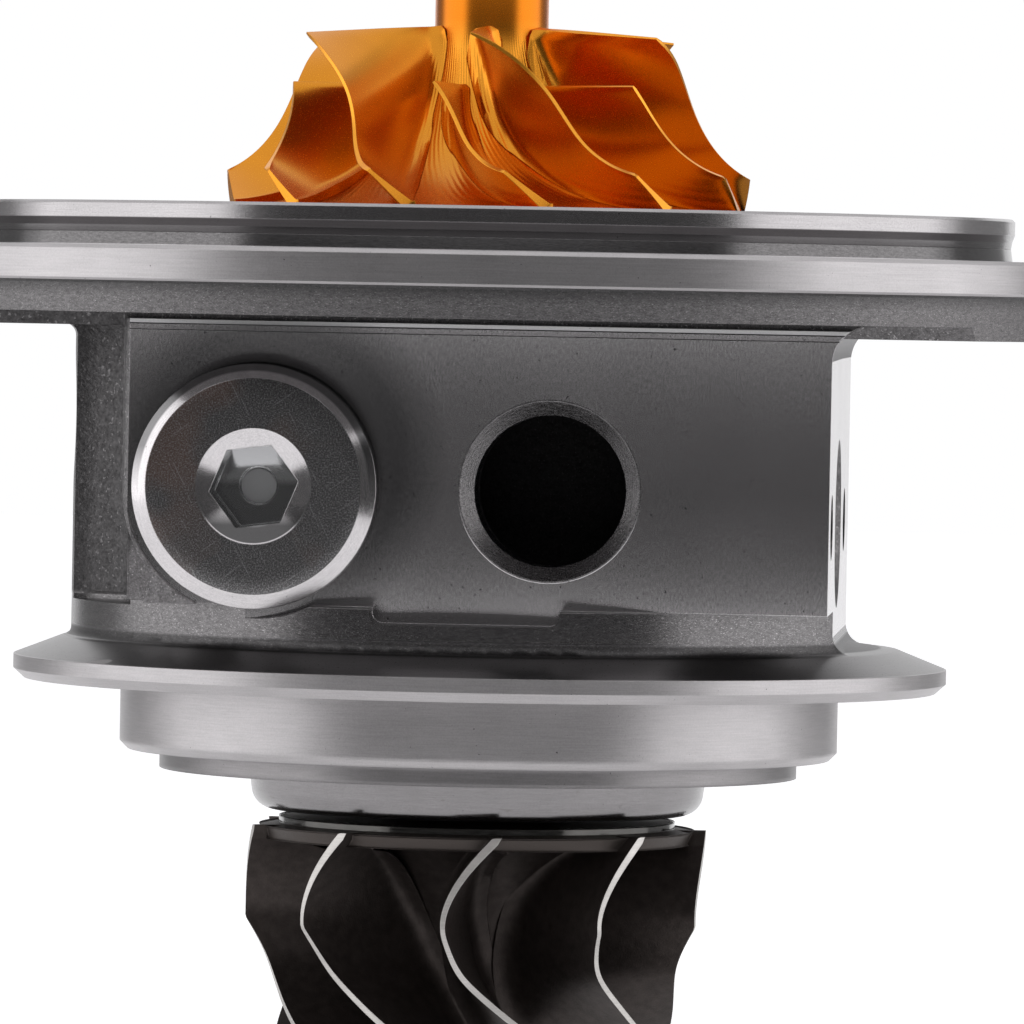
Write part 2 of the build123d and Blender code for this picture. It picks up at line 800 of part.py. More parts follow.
# Dowels that stop the thrust bearing turning
with BuildPart() as thrust_pins:
    with BuildSketch(Plane.XY.offset(thrust_seat_z - pin_below)):
        with PolarLocations(pin_circle_r, 2, pin_start_deg):
            Circle(pin_r)
    extrude(amount=pin_length)
thrust_pins.part.label = "thrust_bearing_pins"
export_step(thrust_pins.part, "parts/thrust_bearing_pins.step")

# Oil deflector between the thrust bearing and the backplate's boss
with BuildPart() as deflector:
    with BuildSketch(Plane.XY.offset(thrust_top_z)):
        Circle(thrust_seat_r)
        Circle(deflector_inner_r, mode=Mode.SUBTRACT)
    extrude(amount=deflector_thickness)
deflector.part.label = "oil_deflector"
export_step(deflector.part, "parts/oil_deflector.step")

# Oil flinger: disc that faces the thrust bearing and a sleeve with the ring groove
with BuildPart() as flinger:
    with BuildSketch(Plane.XZ):
        Polygon(
            (stub_bore_r, flinger_bottom_z),
            (collar_r, flinger_bottom_z),
            (collar_r, flinger_bottom_z + flinger_disc),
            (flinger_sleeve_r, flinger_bottom_z + 2 * flinger_disc),
            (flinger_sleeve_r, compressor_ring_z - ring_side_clearance),
            (compressor_groove_r, compressor_ring_z - ring_side_clearance),
            (compressor_groove_r, compressor_ring_z + seal_ring_width + ring_side_clearance),
            (flinger_sleeve_r, compressor_ring_z + seal_ring_width + ring_side_clearance),
            (flinger_sleeve_r, wheel_back_z),
            (stub_bore_r, wheel_back_z),
            align=None,
        )
    revolve(axis=Axis.Z)
flinger.part.label = "oil_flinger"
export_step(flinger.part, "parts/oil_flinger.step")

# Split seal rings, sprung into the bores they seal
for ring_name, ring_z, inner_r, seal_r in (
    ("compressor_piston_ring", compressor_ring_z, compressor_ring_inner_r, seal_bore_r),
    ("turbine_piston_ring", turbine_ring_z, turbine_ring_inner_r, seal_land_r),
):
    with BuildPart() as seal_ring:
        with BuildSketch(Plane.XZ):
            with Locations(((inner_r + seal_r - bore_on_stub) / 2, ring_z + seal_ring_width / 2)):
                Rectangle(seal_r - bore_on_stub - inner_r, seal_ring_width)
        revolve(axis=Axis.Z, revolution_arc=360 - seal_ring_gap_deg)
    seal_ring.part.label = ring_name
    export_step(seal_ring.part, f"parts/{ring_name}.step")


def shroud_radius(height):
    """Radius of the compressor blades' turned tips at a height."""
    depth = (shroud_straight_z - height) / shroud_drop
    if depth <= 0:
        return inducer_r
    return shroud_centre_r - (shroud_centre_r - inducer_r) * math.sqrt(max(0, 1 - depth**2))


def compressor_blade_lines():
    """Root and tip points of a full blade, from leading to trailing edge."""
    roots = []
    tips = []
    for root_deg, root_wrap, tip_drop, tip_wrap in compressor_blade_stations:
        turn = math.radians(root_deg)
        root_r = exducer_r - (exducer_r - nose_r) * math.cos(turn)
        root_z = hub_top_z - (hub_top_z - hub_floor_z) * math.sin(turn)
        tip_z = inducer_z + (exducer_tip_z - inducer_z) * tip_drop
        roots.append(polar(root_r, root_wrap + wheel_phase, root_z))
        tips.append(polar(shroud_radius(tip_z), tip_wrap + wheel_phase, tip_z))
    return roots, tips


blade_roots, blade_tips = compressor_blade_lines()
blade_middles = [(root + tip) / 2 for root, tip in zip(blade_roots, blade_tips)]

# One full compressor blade, lofted through thin sections and turned to the shroud line
with BuildPart() as full_blade:
    for number, (root, tip) in enumerate(zip(blade_roots, blade_tips)):
        before = blade_middles[max(number - 1, 0)]
        after = blade_middles[min(number + 1, len(blade_middles) - 1)]
        span = tip - root
        across = span.cross(after - before)
        section_plane = Plane(origin=root, x_dir=span, z_dir=span.cross(across))
        with BuildSketch(section_plane):
            Polygon(
                (-blade_sink, -blade_root_thickness / 2),
                (span.length + blade_sink, -blade_tip_thickness / 2),
                (span.length + blade_sink, blade_tip_thickness / 2),
                (-blade_sink, blade_root_thickness / 2),
                align=None,
            )
    loft()
    with BuildSketch(Plane.XZ):
        with BuildLine():
            Polyline(
                (0, hub_top_z),
                (0, hub_floor_z - blade_sink),
                (exducer_r - blade_sink, hub_floor_z - blade_sink / 2),
                (exducer_r, hub_floor_z),
                (exducer_r, exducer_tip_z),
            )
            EllipticalCenterArc(
                (shroud_centre_r, shroud_straight_z),
                shroud_centre_r - inducer_r,
                shroud_drop,
                180,
                arc_size=shroud_arc_deg,
            )
            Polyline(
                (inducer_r, shroud_straight_z),
                (inducer_r, inducer_z),
                (nose_r, hub_top_z),
                (0, hub_top_z),
            )
        make_face()
    revolve(axis=Axis.Z, mode=Mode.INTERSECT)

# A splitter is the same blade, cut off below the full blades' leading edges
with BuildPart() as splitter_blade:
    add(full_blade.part)
    split(bisect_by=Plane.XY.offset(splitter_z), keep=Keep.BOTTOM)

# Compressor wheel: long-nosed hub with full blades and splitters in between
with BuildPart() as compressor_wheel:
    with BuildSketch(Plane.XZ):
        with BuildLine():
            Polyline(
                (nose_r, hub_top_z),
                (nose_r, nose_top_z - shaft_chamfer),
                (nose_r - shaft_chamfer, nose_top_z),
                (stub_bore_r, nose_top_z),
                (stub_bore_r, wheel_back_z),
                (exducer_r, wheel_back_z),
                (exducer_r, hub_floor_z),
            )
            EllipticalCenterArc(
                (exducer_r, hub_top_z),
                exducer_r - nose_r,
                hub_top_z - hub_floor_z,
                180,
                arc_size=90,
            )
        make_face()
    revolve(axis=Axis.Z)
    with PolarLocations(0, full_blade_count):
        add(full_blade.part)
    with PolarLocations(0, full_blade_count, 180 / full_blade_count):
        add(splitter_blade.part)
compressor_wheel.part.label = "compressor_wheel"
export_step(compressor_wheel.part, "parts/compressor_wheel.step")


blade_root_r = turbine_nose_r - blade_sink
blade_end_r = turbine_r + blade_sink

# One turbine blade: radial sections stacked along the axis, cut to the shroud line
with BuildPart() as turbine_blade:
    for drop, wrap in turbine_blade_stations:
        section_z = turbine_top_z + (turbine_bottom_z - turbine_top_z) * drop
        thinning = (turbine_tip_thickness - turbine_outlet_thickness) * drop
        tip_width = turbine_tip_thickness - thinning
        outward = polar(1, wrap + turbine_phase, 0)
        with BuildSketch(Plane(origin=(0, 0, section_z), x_dir=outward, z_dir=(0, 0, -1))):
            Polygon(
                (blade_root_r, -turbine_root_thickness / 2),
                (blade_end_r, -tip_width / 2),
                (blade_end_r, tip_width / 2),
                (blade_root_r, turbine_root_thickness / 2),
                align=None,
            )
    loft()
    with BuildSketch(Plane.XZ):
        with BuildLine():
            Polyline(
                (0, turbine_bottom_z),
                (0, turbine_top_z),
                (turbine_r, turbine_top_z),
                (turbine_r, turbine_inlet_z),
            )
            ThreePointArc(
                (turbine_r, turbine_inlet_z),
                (shroud_mid_r, shroud_mid_z),
                (turbine_outlet_r, shroud_end_z),
            )
            Polyline(
                (turbine_outlet_r, shroud_end_z),
                (turbine_outlet_r, turbine_bottom_z),
                (0, turbine_bottom_z),
            )
        make_face()
    revolve(axis=Axis.Z, mode=Mode.INTERSECT)

# Turbine wheel: cast disc and hub, blades and the nose that it is held by for welding
with BuildPart() as turbine_wheel:
    with BuildSketch(Plane.XZ):
        with BuildLine():
            Polyline(
                (turbine_disc_r, turbine_top_z),
                (turbine_disc_r, turbine_disc_top_z),
                (hub_r, turbine_disc_top_z),
                (hub_r, weld_z),
                (0, weld_z),
                (0, turbine_nose_z),
                (turbine_nose_r, turbine_nose_z),
                (turbine_nose_r, turbine_bottom_z),
            )
            EllipticalCenterArc(
                (turbine_disc_r, turbine_bottom_z),
                turbine_disc_r - turbine_nose_r,
                turbine_top_z - turbine_bottom_z,
                90,
                arc_size=90,
            )
        make_face()
    revolve(axis=Axis.Z)
    with PolarLocations(0, turbine_blade_count):
        add(turbine_blade.part)
    with BuildSketch(Plane.XY.offset(turbine_nose_z)):
        RegularPolygon(turbine_key / 2, 6, major_radius=False)
    extrude(amount=turbine_key_z - turbine_nose_z)
turbine_wheel.part.label = "turbine_wheel"
export_step(turbine_wheel.part, "parts/turbine_wheel.step")

# Lock nut on the compressor wheel's nose
with BuildPart() as nut:
    with BuildSketch(Plane.XY.offset(nose_top_z)):
        Circle(nut_face_r)
    extrude(amount=nut_face_height)
    with BuildSketch(Plane.XY.offset(nose_top_z)):
        RegularPolygon(nut_key / 2, 6, major_radius=False)
    extrude(amount=nut_height)
    with Locations((0, 0, nose_top_z + nut_height)):
        Hole(stub_bore_r)
nut.part.label = "shaft_lock_nut"
export_step(nut.part, "parts/shaft_lock_nut.step")
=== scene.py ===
import math

import bpy
import numpy as np
from mathutils import Matrix, Vector


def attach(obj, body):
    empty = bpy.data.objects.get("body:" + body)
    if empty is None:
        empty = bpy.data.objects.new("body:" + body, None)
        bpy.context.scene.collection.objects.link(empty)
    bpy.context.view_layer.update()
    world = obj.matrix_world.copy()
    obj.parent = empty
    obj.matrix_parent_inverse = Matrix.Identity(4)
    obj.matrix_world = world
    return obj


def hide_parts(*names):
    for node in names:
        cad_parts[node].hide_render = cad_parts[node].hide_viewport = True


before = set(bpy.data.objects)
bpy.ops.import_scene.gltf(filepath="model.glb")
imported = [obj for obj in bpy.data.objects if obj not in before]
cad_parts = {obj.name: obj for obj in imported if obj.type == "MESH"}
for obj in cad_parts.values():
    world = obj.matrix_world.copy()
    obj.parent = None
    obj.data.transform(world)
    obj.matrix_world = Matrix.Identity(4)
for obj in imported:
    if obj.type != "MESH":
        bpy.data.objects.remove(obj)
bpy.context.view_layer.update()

# Lengths below are in millimetres and meshes are written in metres
MM = 0.001


# Mesh helpers

# Share of a side that the arc of one corner may use
ARC_SHARE = 0.49


def smooth_curve(places, values):
    """Natural cubic spline through the given points, as a function."""
    x = np.asarray(places, float)
    y = np.asarray(values, float)
    step = np.diff(x)
    count = len(x)
    system = np.eye(count)
    right = np.zeros(count)
    for i in range(1, count - 1):
        system[i, i - 1:i + 2] = step[i - 1], 2 * (step[i - 1] + step[i]), step[i]
        right[i] = 6 * ((y[i + 1] - y[i]) / step[i] - (y[i] - y[i - 1]) / step[i - 1])
    bend = np.linalg.solve(system, right)

    def value(at):
        at = np.asarray(at, float)
        i = np.clip(np.searchsorted(x, at) - 1, 0, count - 2)
        before = x[i + 1] - at
        after = at - x[i]
        h = step[i]
        return (
            bend[i] * before**3 / (6 * h)
            + bend[i + 1] * after**3 / (6 * h)
            + (y[i] / h - bend[i] * h / 6) * before
            + (y[i + 1] / h - bend[i + 1] * h / 6) * after
        )

    return value


def add_object(name, data):
    piece = bpy.data.objects.new(name, data)
    bpy.context.scene.collection.objects.link(piece)
    return piece


def mesh_piece(name, verts, faces, materials, face_materials=None, sharp_deg=30):
    """Mesh object from points in millimetres, smooth apart from edges sharper than an angle."""
    data = bpy.data.meshes.new(name)
    data.from_pydata([tuple(c * MM for c in v) for v in verts], [], faces)
    for material in materials:
        data.materials.append(material)
    if face_materials is not None:
        data.polygons.foreach_set("material_index", face_materials)
    data.validate()
    data.polygons.foreach_set("use_smooth", [True] * len(data.polygons))
    data.set_sharp_from_angle(angle=math.radians(sharp_deg))
    return add_object(name, data)


def round_corners(points, arc_steps=5):
    """Outline of (r, z, radius) corners as (r, z) points, each corner turned into an arc."""
    out = []
    count = len(points)
    for i, (r, z, radius) in enumerate(points):
        here = np.array((r, z), float)
        before = np.array(points[i - 1][:2], float) - here
        after = np.array(points[(i + 1) % count][:2], float) - here
        if radius <= 0:
            out.append(tuple(here))
            continue
        length_before = np.linalg.norm(before)
        length_after = np.linalg.norm(after)
        before /= length_before
        after /= length_after
        opening = math.acos(max(-1, min(1, float(before @ after))))
        reach = radius / math.tan(opening / 2)
        limit = ARC_SHARE * min(length_before, length_after)
        if reach > limit:
            radius *= limit / reach
            reach = limit
        bisector = before + after
        bisector /= np.linalg.norm(bisector)
        centre = here + bisector * radius / math.sin(opening / 2)
        start = here + before * reach - centre
        sweep = math.pi - opening
        turn = 1 if start[0] * after[1] - start[1] * after[0] > 0 else -1
        for k in range(arc_steps + 1):
            a = turn * sweep * k / arc_steps
            c, s = math.cos(a), math.sin(a)
            out.append((
                float(centre[0] + c * start[0] - s * start[1]),
                float(centre[1] + s * start[0] + c * start[1]),
            ))
    return out


def revolved(outline, steps=256):
    """Points and faces of a closed outline of (r, z) points turned about Z.

    Points on the axis stay single.
    """
    verts = []
    rings = []
    for r, z in outline:
        if r < 1e-6:
            rings.append([len(verts)] * steps)
            verts.append((0, 0, z))
            continue
        rings.append(list(range(len(verts), len(verts) + steps)))
        for k in range(steps):
            a = 2 * math.pi * k / steps
            verts.append((r * math.cos(a), r * math.sin(a), z))
    faces = []
    count = len(outline)
    for i in range(count):
        low = rings[i]
        high = rings[(i + 1) % count]
        if low[0] == low[1] and high[0] == high[1]:
            continue
        for k in range(steps):
            n = (k + 1) % steps
            face = [low[k], low[n], high[n], high[k]]
            face = [v for j, v in enumerate(face) if v != face[j - 1]]
            faces.append(face)
    return verts, faces


def blade_faces(along, across, front_kind):
    """Faces and material numbers of a blade made of two grids of points, one for each side.

    The tip, a grid's last column, gets material 1 and the front edge the given one.
    """
    faces = []
    kinds = []
    size = along * across

    def quad(a, b, c, d, kind=0):
        faces.append((a, b, c, d))
        kinds.append(kind)

    for i in range(along - 1):
        for j in range(across - 1):
            a = i * across + j
            quad(a, a + 1, a + across + 1, a + across)
            quad(size + a, size + a + across, size + a + across + 1, size + a + 1)
        a = i * across
        quad(a, a + across, size + a + across, size + a)
        a = i * across + across - 1
        quad(a + across, a, size + a, size + a + across, 1)
    for j in range(across - 1):
        quad(j + 1, j, size + j, size + j + 1, front_kind)
        a = (along - 1) * across + j
        quad(a, a + 1, size + a + 1, size + a)
    return faces, kinds


def add_shell(shell, verts, faces, kinds):
    """A closed mesh added to lists of points, faces and material numbers."""
    more_verts, more_faces, more_kinds = shell
    base = len(verts)
    verts.extend(map(tuple, more_verts))
    faces.extend(tuple(base + i for i in face) for face in more_faces)
    kinds.extend(more_kinds)


# Camera: the photograph's view, level with the compressor flange, 1.04 m away with a long lens

IMAGE = 1024
FOCAL_PX = 9764
# Place in the photograph of the shaft's axis at the camera's height
AXIS_PX = (486.9, 289.6)
ROLL_DEG = 1.09
CAMERA_AZIMUTH = 4.0
CAMERA_HEIGHT = 42.2
CAMERA_DISTANCE = 1044.7
SENSOR_MM = 36


def make_camera():
    azimuth = math.radians(CAMERA_AZIMUTH)
    roll = math.radians(ROLL_DEG)
    right = Vector((math.cos(azimuth), math.sin(azimuth), 0))
    up = Vector((0, 0, 1))
    ahead = Vector((-math.sin(azimuth), math.cos(azimuth), 0))
    off_x = AXIS_PX[0] - IMAGE / 2
    off_y = IMAGE / 2 - AXIS_PX[1]
    c, s = math.cos(roll), math.sin(roll)
    level_x = off_x * c - off_y * s
    level_y = off_x * s + off_y * c
    forward = (ahead - right * (level_x / FOCAL_PX) - up * (level_y / FOCAL_PX)).normalized()
    right = forward.cross(up).normalized()
    up = right.cross(forward)
    rolled_right = right * c + up * s
    rolled_up = up * c - right * s
    data = bpy.data.cameras.new("camera")
    data.sensor_width = SENSOR_MM
    data.lens = data.sensor_width * FOCAL_PX / IMAGE
    data.clip_start = 0.05
    data.clip_end = 50
    camera = add_object("camera", data)
    turn = Matrix((rolled_right, rolled_up, -forward)).transposed()
    place = -ahead * CAMERA_DISTANCE * MM + Vector((0, 0, CAMERA_HEIGHT * MM))
    camera.matrix_world = Matrix.Translation(place) @ turn.to_4x4()
    bpy.context.scene.camera = camera


# Shader helpers

def set_inputs(tree, node, **inputs):
    """Links or values for inputs, named with underscores for spaces, or i and a number."""
    for name, value in inputs.items():
        numbered = name[0] == "i" and name[1:].isdigit()
        socket = node.inputs[int(name[1:])] if numbered else node.inputs[name.replace("_", " ")]
        if isinstance(value, bpy.types.NodeSocket):
            tree.links.new(value, socket)
        else:
            socket.default_value = value


def add_node(tree, kind, settings=None, **inputs):
    node = tree.nodes.new(kind)
    for name, value in (settings or {}).items():
        setattr(node, name, value)
    set_inputs(tree, node, **inputs)
    return node


def new_material(name):
    material = bpy.data.materials.new(name)
    material.use_nodes = True
    tree = material.node_tree
    return material, tree, tree.nodes["Principled BSDF"]


def rgb(r, g, b):
    return (r, g, b, 1.0)


def grey(value):
    return (value, value, value * 1.01, 1.0)


def iron(value):
    """Bare iron's faintly warm grey."""
    return (min(1, value * 1.03), min(1, value * 0.99), min(1, value * 1.005), 1.0)


def math_node(tree, operation, a, b=0.0, c=0.0):
    return add_node(tree, "ShaderNodeMath", {"operation": operation}, i0=a, i1=b, i2=c).outputs[0]


def times(tree, a, b):
    return math_node(tree, "MULTIPLY", a, b)


def minus(tree, a, b):
    return math_node(tree, "SUBTRACT", a, b)


def chained(tree, operation, values):
    """Values joined one after another by an operation."""
    result = values[0]
    for value in values[1:]:
        result = math_node(tree, operation, result, value)
    return result


def total(tree, *values):
    return chained(tree, "ADD", values)


def either(tree, *masks):
    return chained(tree, "MAXIMUM", masks)


def both(tree, *masks):
    return chained(tree, "MULTIPLY", masks)


def mix_colour(tree, factor, a, b):
    return add_node(tree, "ShaderNodeMix", {"data_type": "RGBA"}, i0=factor, i6=a, i7=b).outputs[2]


def mix_value(tree, factor, a, b):
    return add_node(tree, "ShaderNodeMix", {"data_type": "FLOAT"}, i0=factor, i2=a, i3=b).outputs[0]


def ramp(tree, value, low, high, low_out=0.0, high_out=1.0):
    """Value mapped from one range to another, held at both ends."""
    node = add_node(
        tree, "ShaderNodeMapRange", {"clamp": True},
        Value=value, From_Min=low, From_Max=high, To_Min=low_out, To_Max=high_out,
    )
    return node.outputs[0]


def near(tree, value, place, reach=0.06):
    """1 where a value lies close to a place, else 0."""
    return math_node(tree, "COMPARE", value, place, reach)


def mm_coords(tree):
    """Object coordinates in millimetres."""
    coords = add_node(tree, "ShaderNodeTexCoord").outputs["Object"]
    scaled = add_node(tree, "ShaderNodeVectorMath", {"operation": "SCALE"}, i0=coords, Scale=1 / MM)
    return scaled.outputs[0]


def parts_of(tree, vector):
    return add_node(tree, "ShaderNodeSeparateXYZ", Vector=vector).outputs


def vector_of(tree, x, y, z):
    return add_node(tree, "ShaderNodeCombineXYZ", X=x, Y=y, Z=z).outputs[0]


def stretched(tree, vector, x, y, z):
    product = add_node(tree, "ShaderNodeVectorMath", {"operation": "MULTIPLY"}, i0=vector, i1=(x, y, z))
    return product.outputs[0]


def rotated(tree, vector, degrees):
    """Coordinates turned about the Y axis."""
    angle = math.radians(degrees)
    turn = add_node(tree, "ShaderNodeVectorRotate", {"rotation_type": "Y_AXIS"}, Vector=vector, Angle=angle)
    return turn.outputs[0]


def distance(tree, u, v, cu=0.0, cv=0.0):
    du = minus(tree, u, cu)
    dv = minus(tree, v, cv)
    square = math_node(tree, "MULTIPLY_ADD", du, du, times(tree, dv, dv))
    return math_node(tree, "SQRT", square)


def turned_coords(tree, u, v, w, cu=0.0, cv=0.0, around=1.5):
    """Coordinates drawn out along the turning direction about an axis: angle, radius and height."""
    angle = math_node(tree, "ARCTAN2", minus(tree, v, cv), minus(tree, u, cu))
    return vector_of(tree, times(tree, angle, around), distance(tree, u, v, cu, cv), w)


def noise(tree, vector, scale, detail=3.0, rough=0.5):
    return add_node(
        tree, "ShaderNodeTexNoise", Vector=vector, Scale=scale, Detail=detail, Roughness=rough,
    ).outputs["Fac"]


def mottled(tree, value, dark, light):
    """Colour that goes with noise from dark to light."""
    return mix_colour(tree, ramp(tree, value, 0.3, 0.7), dark, light)


def swing(tree, value, reach):
    """Noise spread about 0, as far as a reach either way."""
    return ramp(tree, value, 0.3, 0.7, -reach, reach)


def relief(tree, height_mm, edge_mm):
    """Normal from a height in millimetres, with the edges of the mesh softened."""
    reach = times(tree, edge_mm, MM)
    rounded = add_node(tree, "ShaderNodeBevel", {"samples": 4}, Radius=reach).outputs[0]
    return add_node(tree, "ShaderNodeBump", Height=height_mm, Distance=MM, Normal=rounded).outputs[0]


def faces_along(tree, axis, least=0.995):
    """1 where the mesh faces along an axis, either way."""
    normal = parts_of(tree, add_node(tree, "ShaderNodeTexCoord").outputs["Normal"])[axis]
    return math_node(tree, "GREATER_THAN", math_node(tree, "ABSOLUTE", normal), least)


def shade_metal(tree, shader, colour, rough, height_mm, metallic=1.0, edge_mm=0.12):
    normal = relief(tree, height_mm, edge_mm)
    set_inputs(tree, shader, Base_Color=colour, Roughness=rough, Metallic=metallic, Normal=normal)


# A look is a colour, a roughness and a height in millimetres

def clouded(tree, shade, base, contrast):
    """Colour from dark to light iron about a base, by a shade that lies about 0.5."""
    return mix_colour(tree, shade, iron(base * (1 - contrast)), iron(base * (1 + contrast)))


def pitted(tree, colour, vector, scale, start, base):
    """Colour with small dark pits where a noise passes a limit."""
    pits = noise(tree, vector, scale, 1.0)
    return mix_colour(tree, ramp(tree, pits, start, start + 0.015), colour, iron(base * 0.3))


def turned_look(tree, vector, base, rough, ring_mm=0.0025):
    """Look of a lathe-turned surface."""
    place = mm_coords(tree)
    rings = noise(tree, vector, 7.0, 4.0, 0.65)
    grain = noise(tree, place, 6.0, 3.0, 0.6)
    broad = noise(tree, place, 0.13, 2.0)
    shade = total(tree, swing(tree, rings, 0.10), swing(tree, grain, 0.10), swing(tree, broad, 0.06), 0.5)
    colour = pitted(tree, clouded(tree, shade, base, 0.4), place, 3.4, 0.785, base)
    tone = ramp(tree, grain, 0.25, 0.75, rough - 0.04, rough + 0.05)
    return colour, tone, times(tree, rings, ring_mm)


def milled_look(tree, vector, base, rough):
    """Look of a face-milled surface with small pits."""
    grain = noise(tree, stretched(tree, vector, 1.0, 1.0, 0.35), 6.0, 4.0, 0.6)
    broad = noise(tree, vector, 0.07, 1.0)
    shade = total(tree, swing(tree, grain, 0.10), swing(tree, broad, 0.07), 0.5)
    colour = pitted(tree, clouded(tree, shade, base, 0.4), vector, 2.1, 0.745, base)
    tone = ramp(tree, grain, 0.25, 0.75, rough - 0.03, rough + 0.04)
    return colour, tone, times(tree, grain, 0.002)


def cast_look(tree, vector, base, rough, grain_mm=0.07, speck=2.6):
    """Look of a sand-cast skin with bright grains, a number of times brighter than the base."""
    coarse = noise(tree, vector, 1.5, 3.0, 0.6)
    fine = noise(tree, vector, 5.0, 3.0, 0.6)
    shade = total(tree, swing(tree, coarse, 0.2), swing(tree, fine, 0.3), 0.5)
    specks = noise(tree, vector, 4.0, 2.0)
    bright = ramp(tree, specks, 0.62, 0.7)
    colour = mix_colour(tree, bright, clouded(tree, shade, base, 0.6), iron(base * speck))
    height = total(tree, coarse, times(tree, fine, 0.6))
    return colour, rough, times(tree, height, grain_mm)


def blend_looks(tree, mask, under, over):
    """One look over another where a mask is 1."""
    return (
        mix_colour(tree, mask, under[0], over[0]),
        mix_value(tree, mask, under[1], over[1]),
        mix_value(tree, mask, under[2], over[2]),
    )


def tinted(tree, mask, look, colour):
    """Look with another colour where a mask is 1."""
    return mix_colour(tree, mask, look[0], colour), look[1], look[2]


# Axes in the front face, as x and z
PLUG = (-20.8, 21.5)
PORT = (9.5, 21.5)

# Limits in mm of the places with a finish of their own, or with painted shade: a coordinate, where the
# finish or shade starts to show, where it is full, and the mask's values at both where they aren't 0 and 1.
# "radius" is from the shaft's axis, or from the plug's for the plug, and "nick", "port" and the painted
# shade round the plug take distances from the middles of those.
ZONES = {
    # Cast skin of the housing
    "shelf": [("x", -36.5, -35.0), ("x", -24.0, -26.0), ("z", 16.0, 14.0), ("y", -20.0, -24.0)],
    # Pocket: dark cast skin, darker still as painted shade of the recess
    "pocket": [("x", -34.6, -35.4), ("y", -8.0, -10.0), ("z", 8.4, 8.7)],
    # Lug: near-black as painted shade under the flange's right side
    "lug": [("x", 41.0, 42.0), ("z", 37.8, 37.7), ("z", 30.0, 32.0)],
    "low_band": [("z", 9.4, 9.1)],
    # Foot: painted shade on the fillet where the barrel meets the cone
    "foot": [("z", 5.9, 5.6), ("radius", 47.0, 46.6)],
    "flange_rim": [("radius", 60.0, 60.3), ("z", 42.5, 42.45), ("z", 37.6, 37.8)],
    # Painted shade at the top of the flange's cast rim, under the turned band
    "rim_top_painted_shade": [("z", 40.8, 42.2, 0.0, 0.6)],
    # Turned surfaces of the housing
    "cone": [("z", 4.75, 4.7), ("z", 2.55, 2.6)],
    "pilot": [("z", 2.6, 2.55)],
    "flange_top": [("z", 42.45, 42.5)],
    "nick": [("nick", 1.25, 1.1), ("x", 0.0, -1.0), ("y", 0.0, -1.0)],
    "step": [("z", -7.3, -7.4)],
    # Register: cast skin under the backplate's lip, darkened partly as painted shade of the recess
    "register": [("z", 46.15, 46.25), ("radius", 57.0, 56.8)],
    # Milled surfaces of the housing
    "front": [("z", 38.7, 38.55)],
    "sides": [("z", 5.0, 5.2)],
    "land": [("z", 38.05, 38.15)],
    # Painted shade round the plug on the front face
    "plug_shade": [("plug_shade", 18.5, 13.5, 0.0, 0.62)],
    # Coolant ports
    "port": [("port", 9.5, 9.4), ("y", -29.5, -30.0)],
    # Painted shade deep inside the port: near-black
    "port_painted_shade": [("port", 8.35, 8.3), ("y", 0.0, -2.0), ("y", -30.5, -30.0)],
    # Plug
    "plug_face": [("radius", 5.9, 6.0)],
    # Painted shade on the bevel, darker towards its top
    "plug_bevel": [("radius", 11.8, 12.0), ("z", PLUG[1] - 1.0, PLUG[1] + 4.0, 0.0, 0.85)],
    # Painted shade in the dish, darker towards its bottom
    "plug_dish": [("radius", 5.9, 5.8), ("z", PLUG[1] - 1.5, PLUG[1] - 4.0, 0.0, 0.92)],
    "plug_socket": [("radius", 4.75, 4.6), ("y", -41.4, -41.2)],
    "plug_ring": [("radius", 1.75, 1.85)],
    "plug_disc": [("radius", 1.85, 1.75)],
}
# Planes of the milled faces
FRONT_Y = -38.0
REAR_Y = 42.0
RIGHT_X = 38.4
LEFT_X = -41.0
# Height and half width of the two fine grooves at the top of the front face, coloured dark as painted shade
GROOVES = [(38.08, 0.07), (37.45, 0.05)]
# Bright nick under the recess, as y and z, and how many times wider than high it is
NICK = (-32.3, 2.6)
NICK_STRETCH = 3.0
# Middle of the painted shade round the plug
PLUG_SHADE = (PLUG[0] + 1.5, PLUG[1] + 3.0)
# Middle of the milled front face, and its slight bend below and above that in 1/mm
CROWN_Z = 21.5
CROWN_LOW = -0.0024
CROWN_HIGH = 0.0036
# Softened edges in mm: most of the housing, and its foot
HOUSING_EDGE = 0.12
FOOT_EDGE = 0.6


def zone(tree, at, name):
    """1 inside a zone. The coordinates are given by name."""
    return both(tree, *(ramp(tree, at[axis], *limits) for axis, *limits in ZONES[name]))


def dressed(tree, at, look, finishes):
    """Look with other looks over it, each in the zone of its name."""
    for name, over in finishes.items():
        look = blend_looks(tree, zone(tree, at, name), look, over)
    return look


def lined_coords(tree, at, stretch):
    """Coordinates packed closer along the shaft, for marks that run round the part."""
    return vector_of(tree, at["x"], at["y"], times(tree, at["z"], stretch))


def housing_coords(tree, vector):
    """Coordinates that the housing's zones are given in, by name."""
    x, y, z = parts_of(tree, vector)
    nick_z = times(tree, z, NICK_STRETCH)
    return {
        "x": x, "y": y, "z": z,
        "radius": distance(tree, x, y),
        "nick": distance(tree, y, nick_z, NICK[0], NICK[1] * NICK_STRETCH),
        "port": distance(tree, x, z, *PORT),
        "plug_shade": distance(tree, x, z, *PLUG_SHADE),
    }


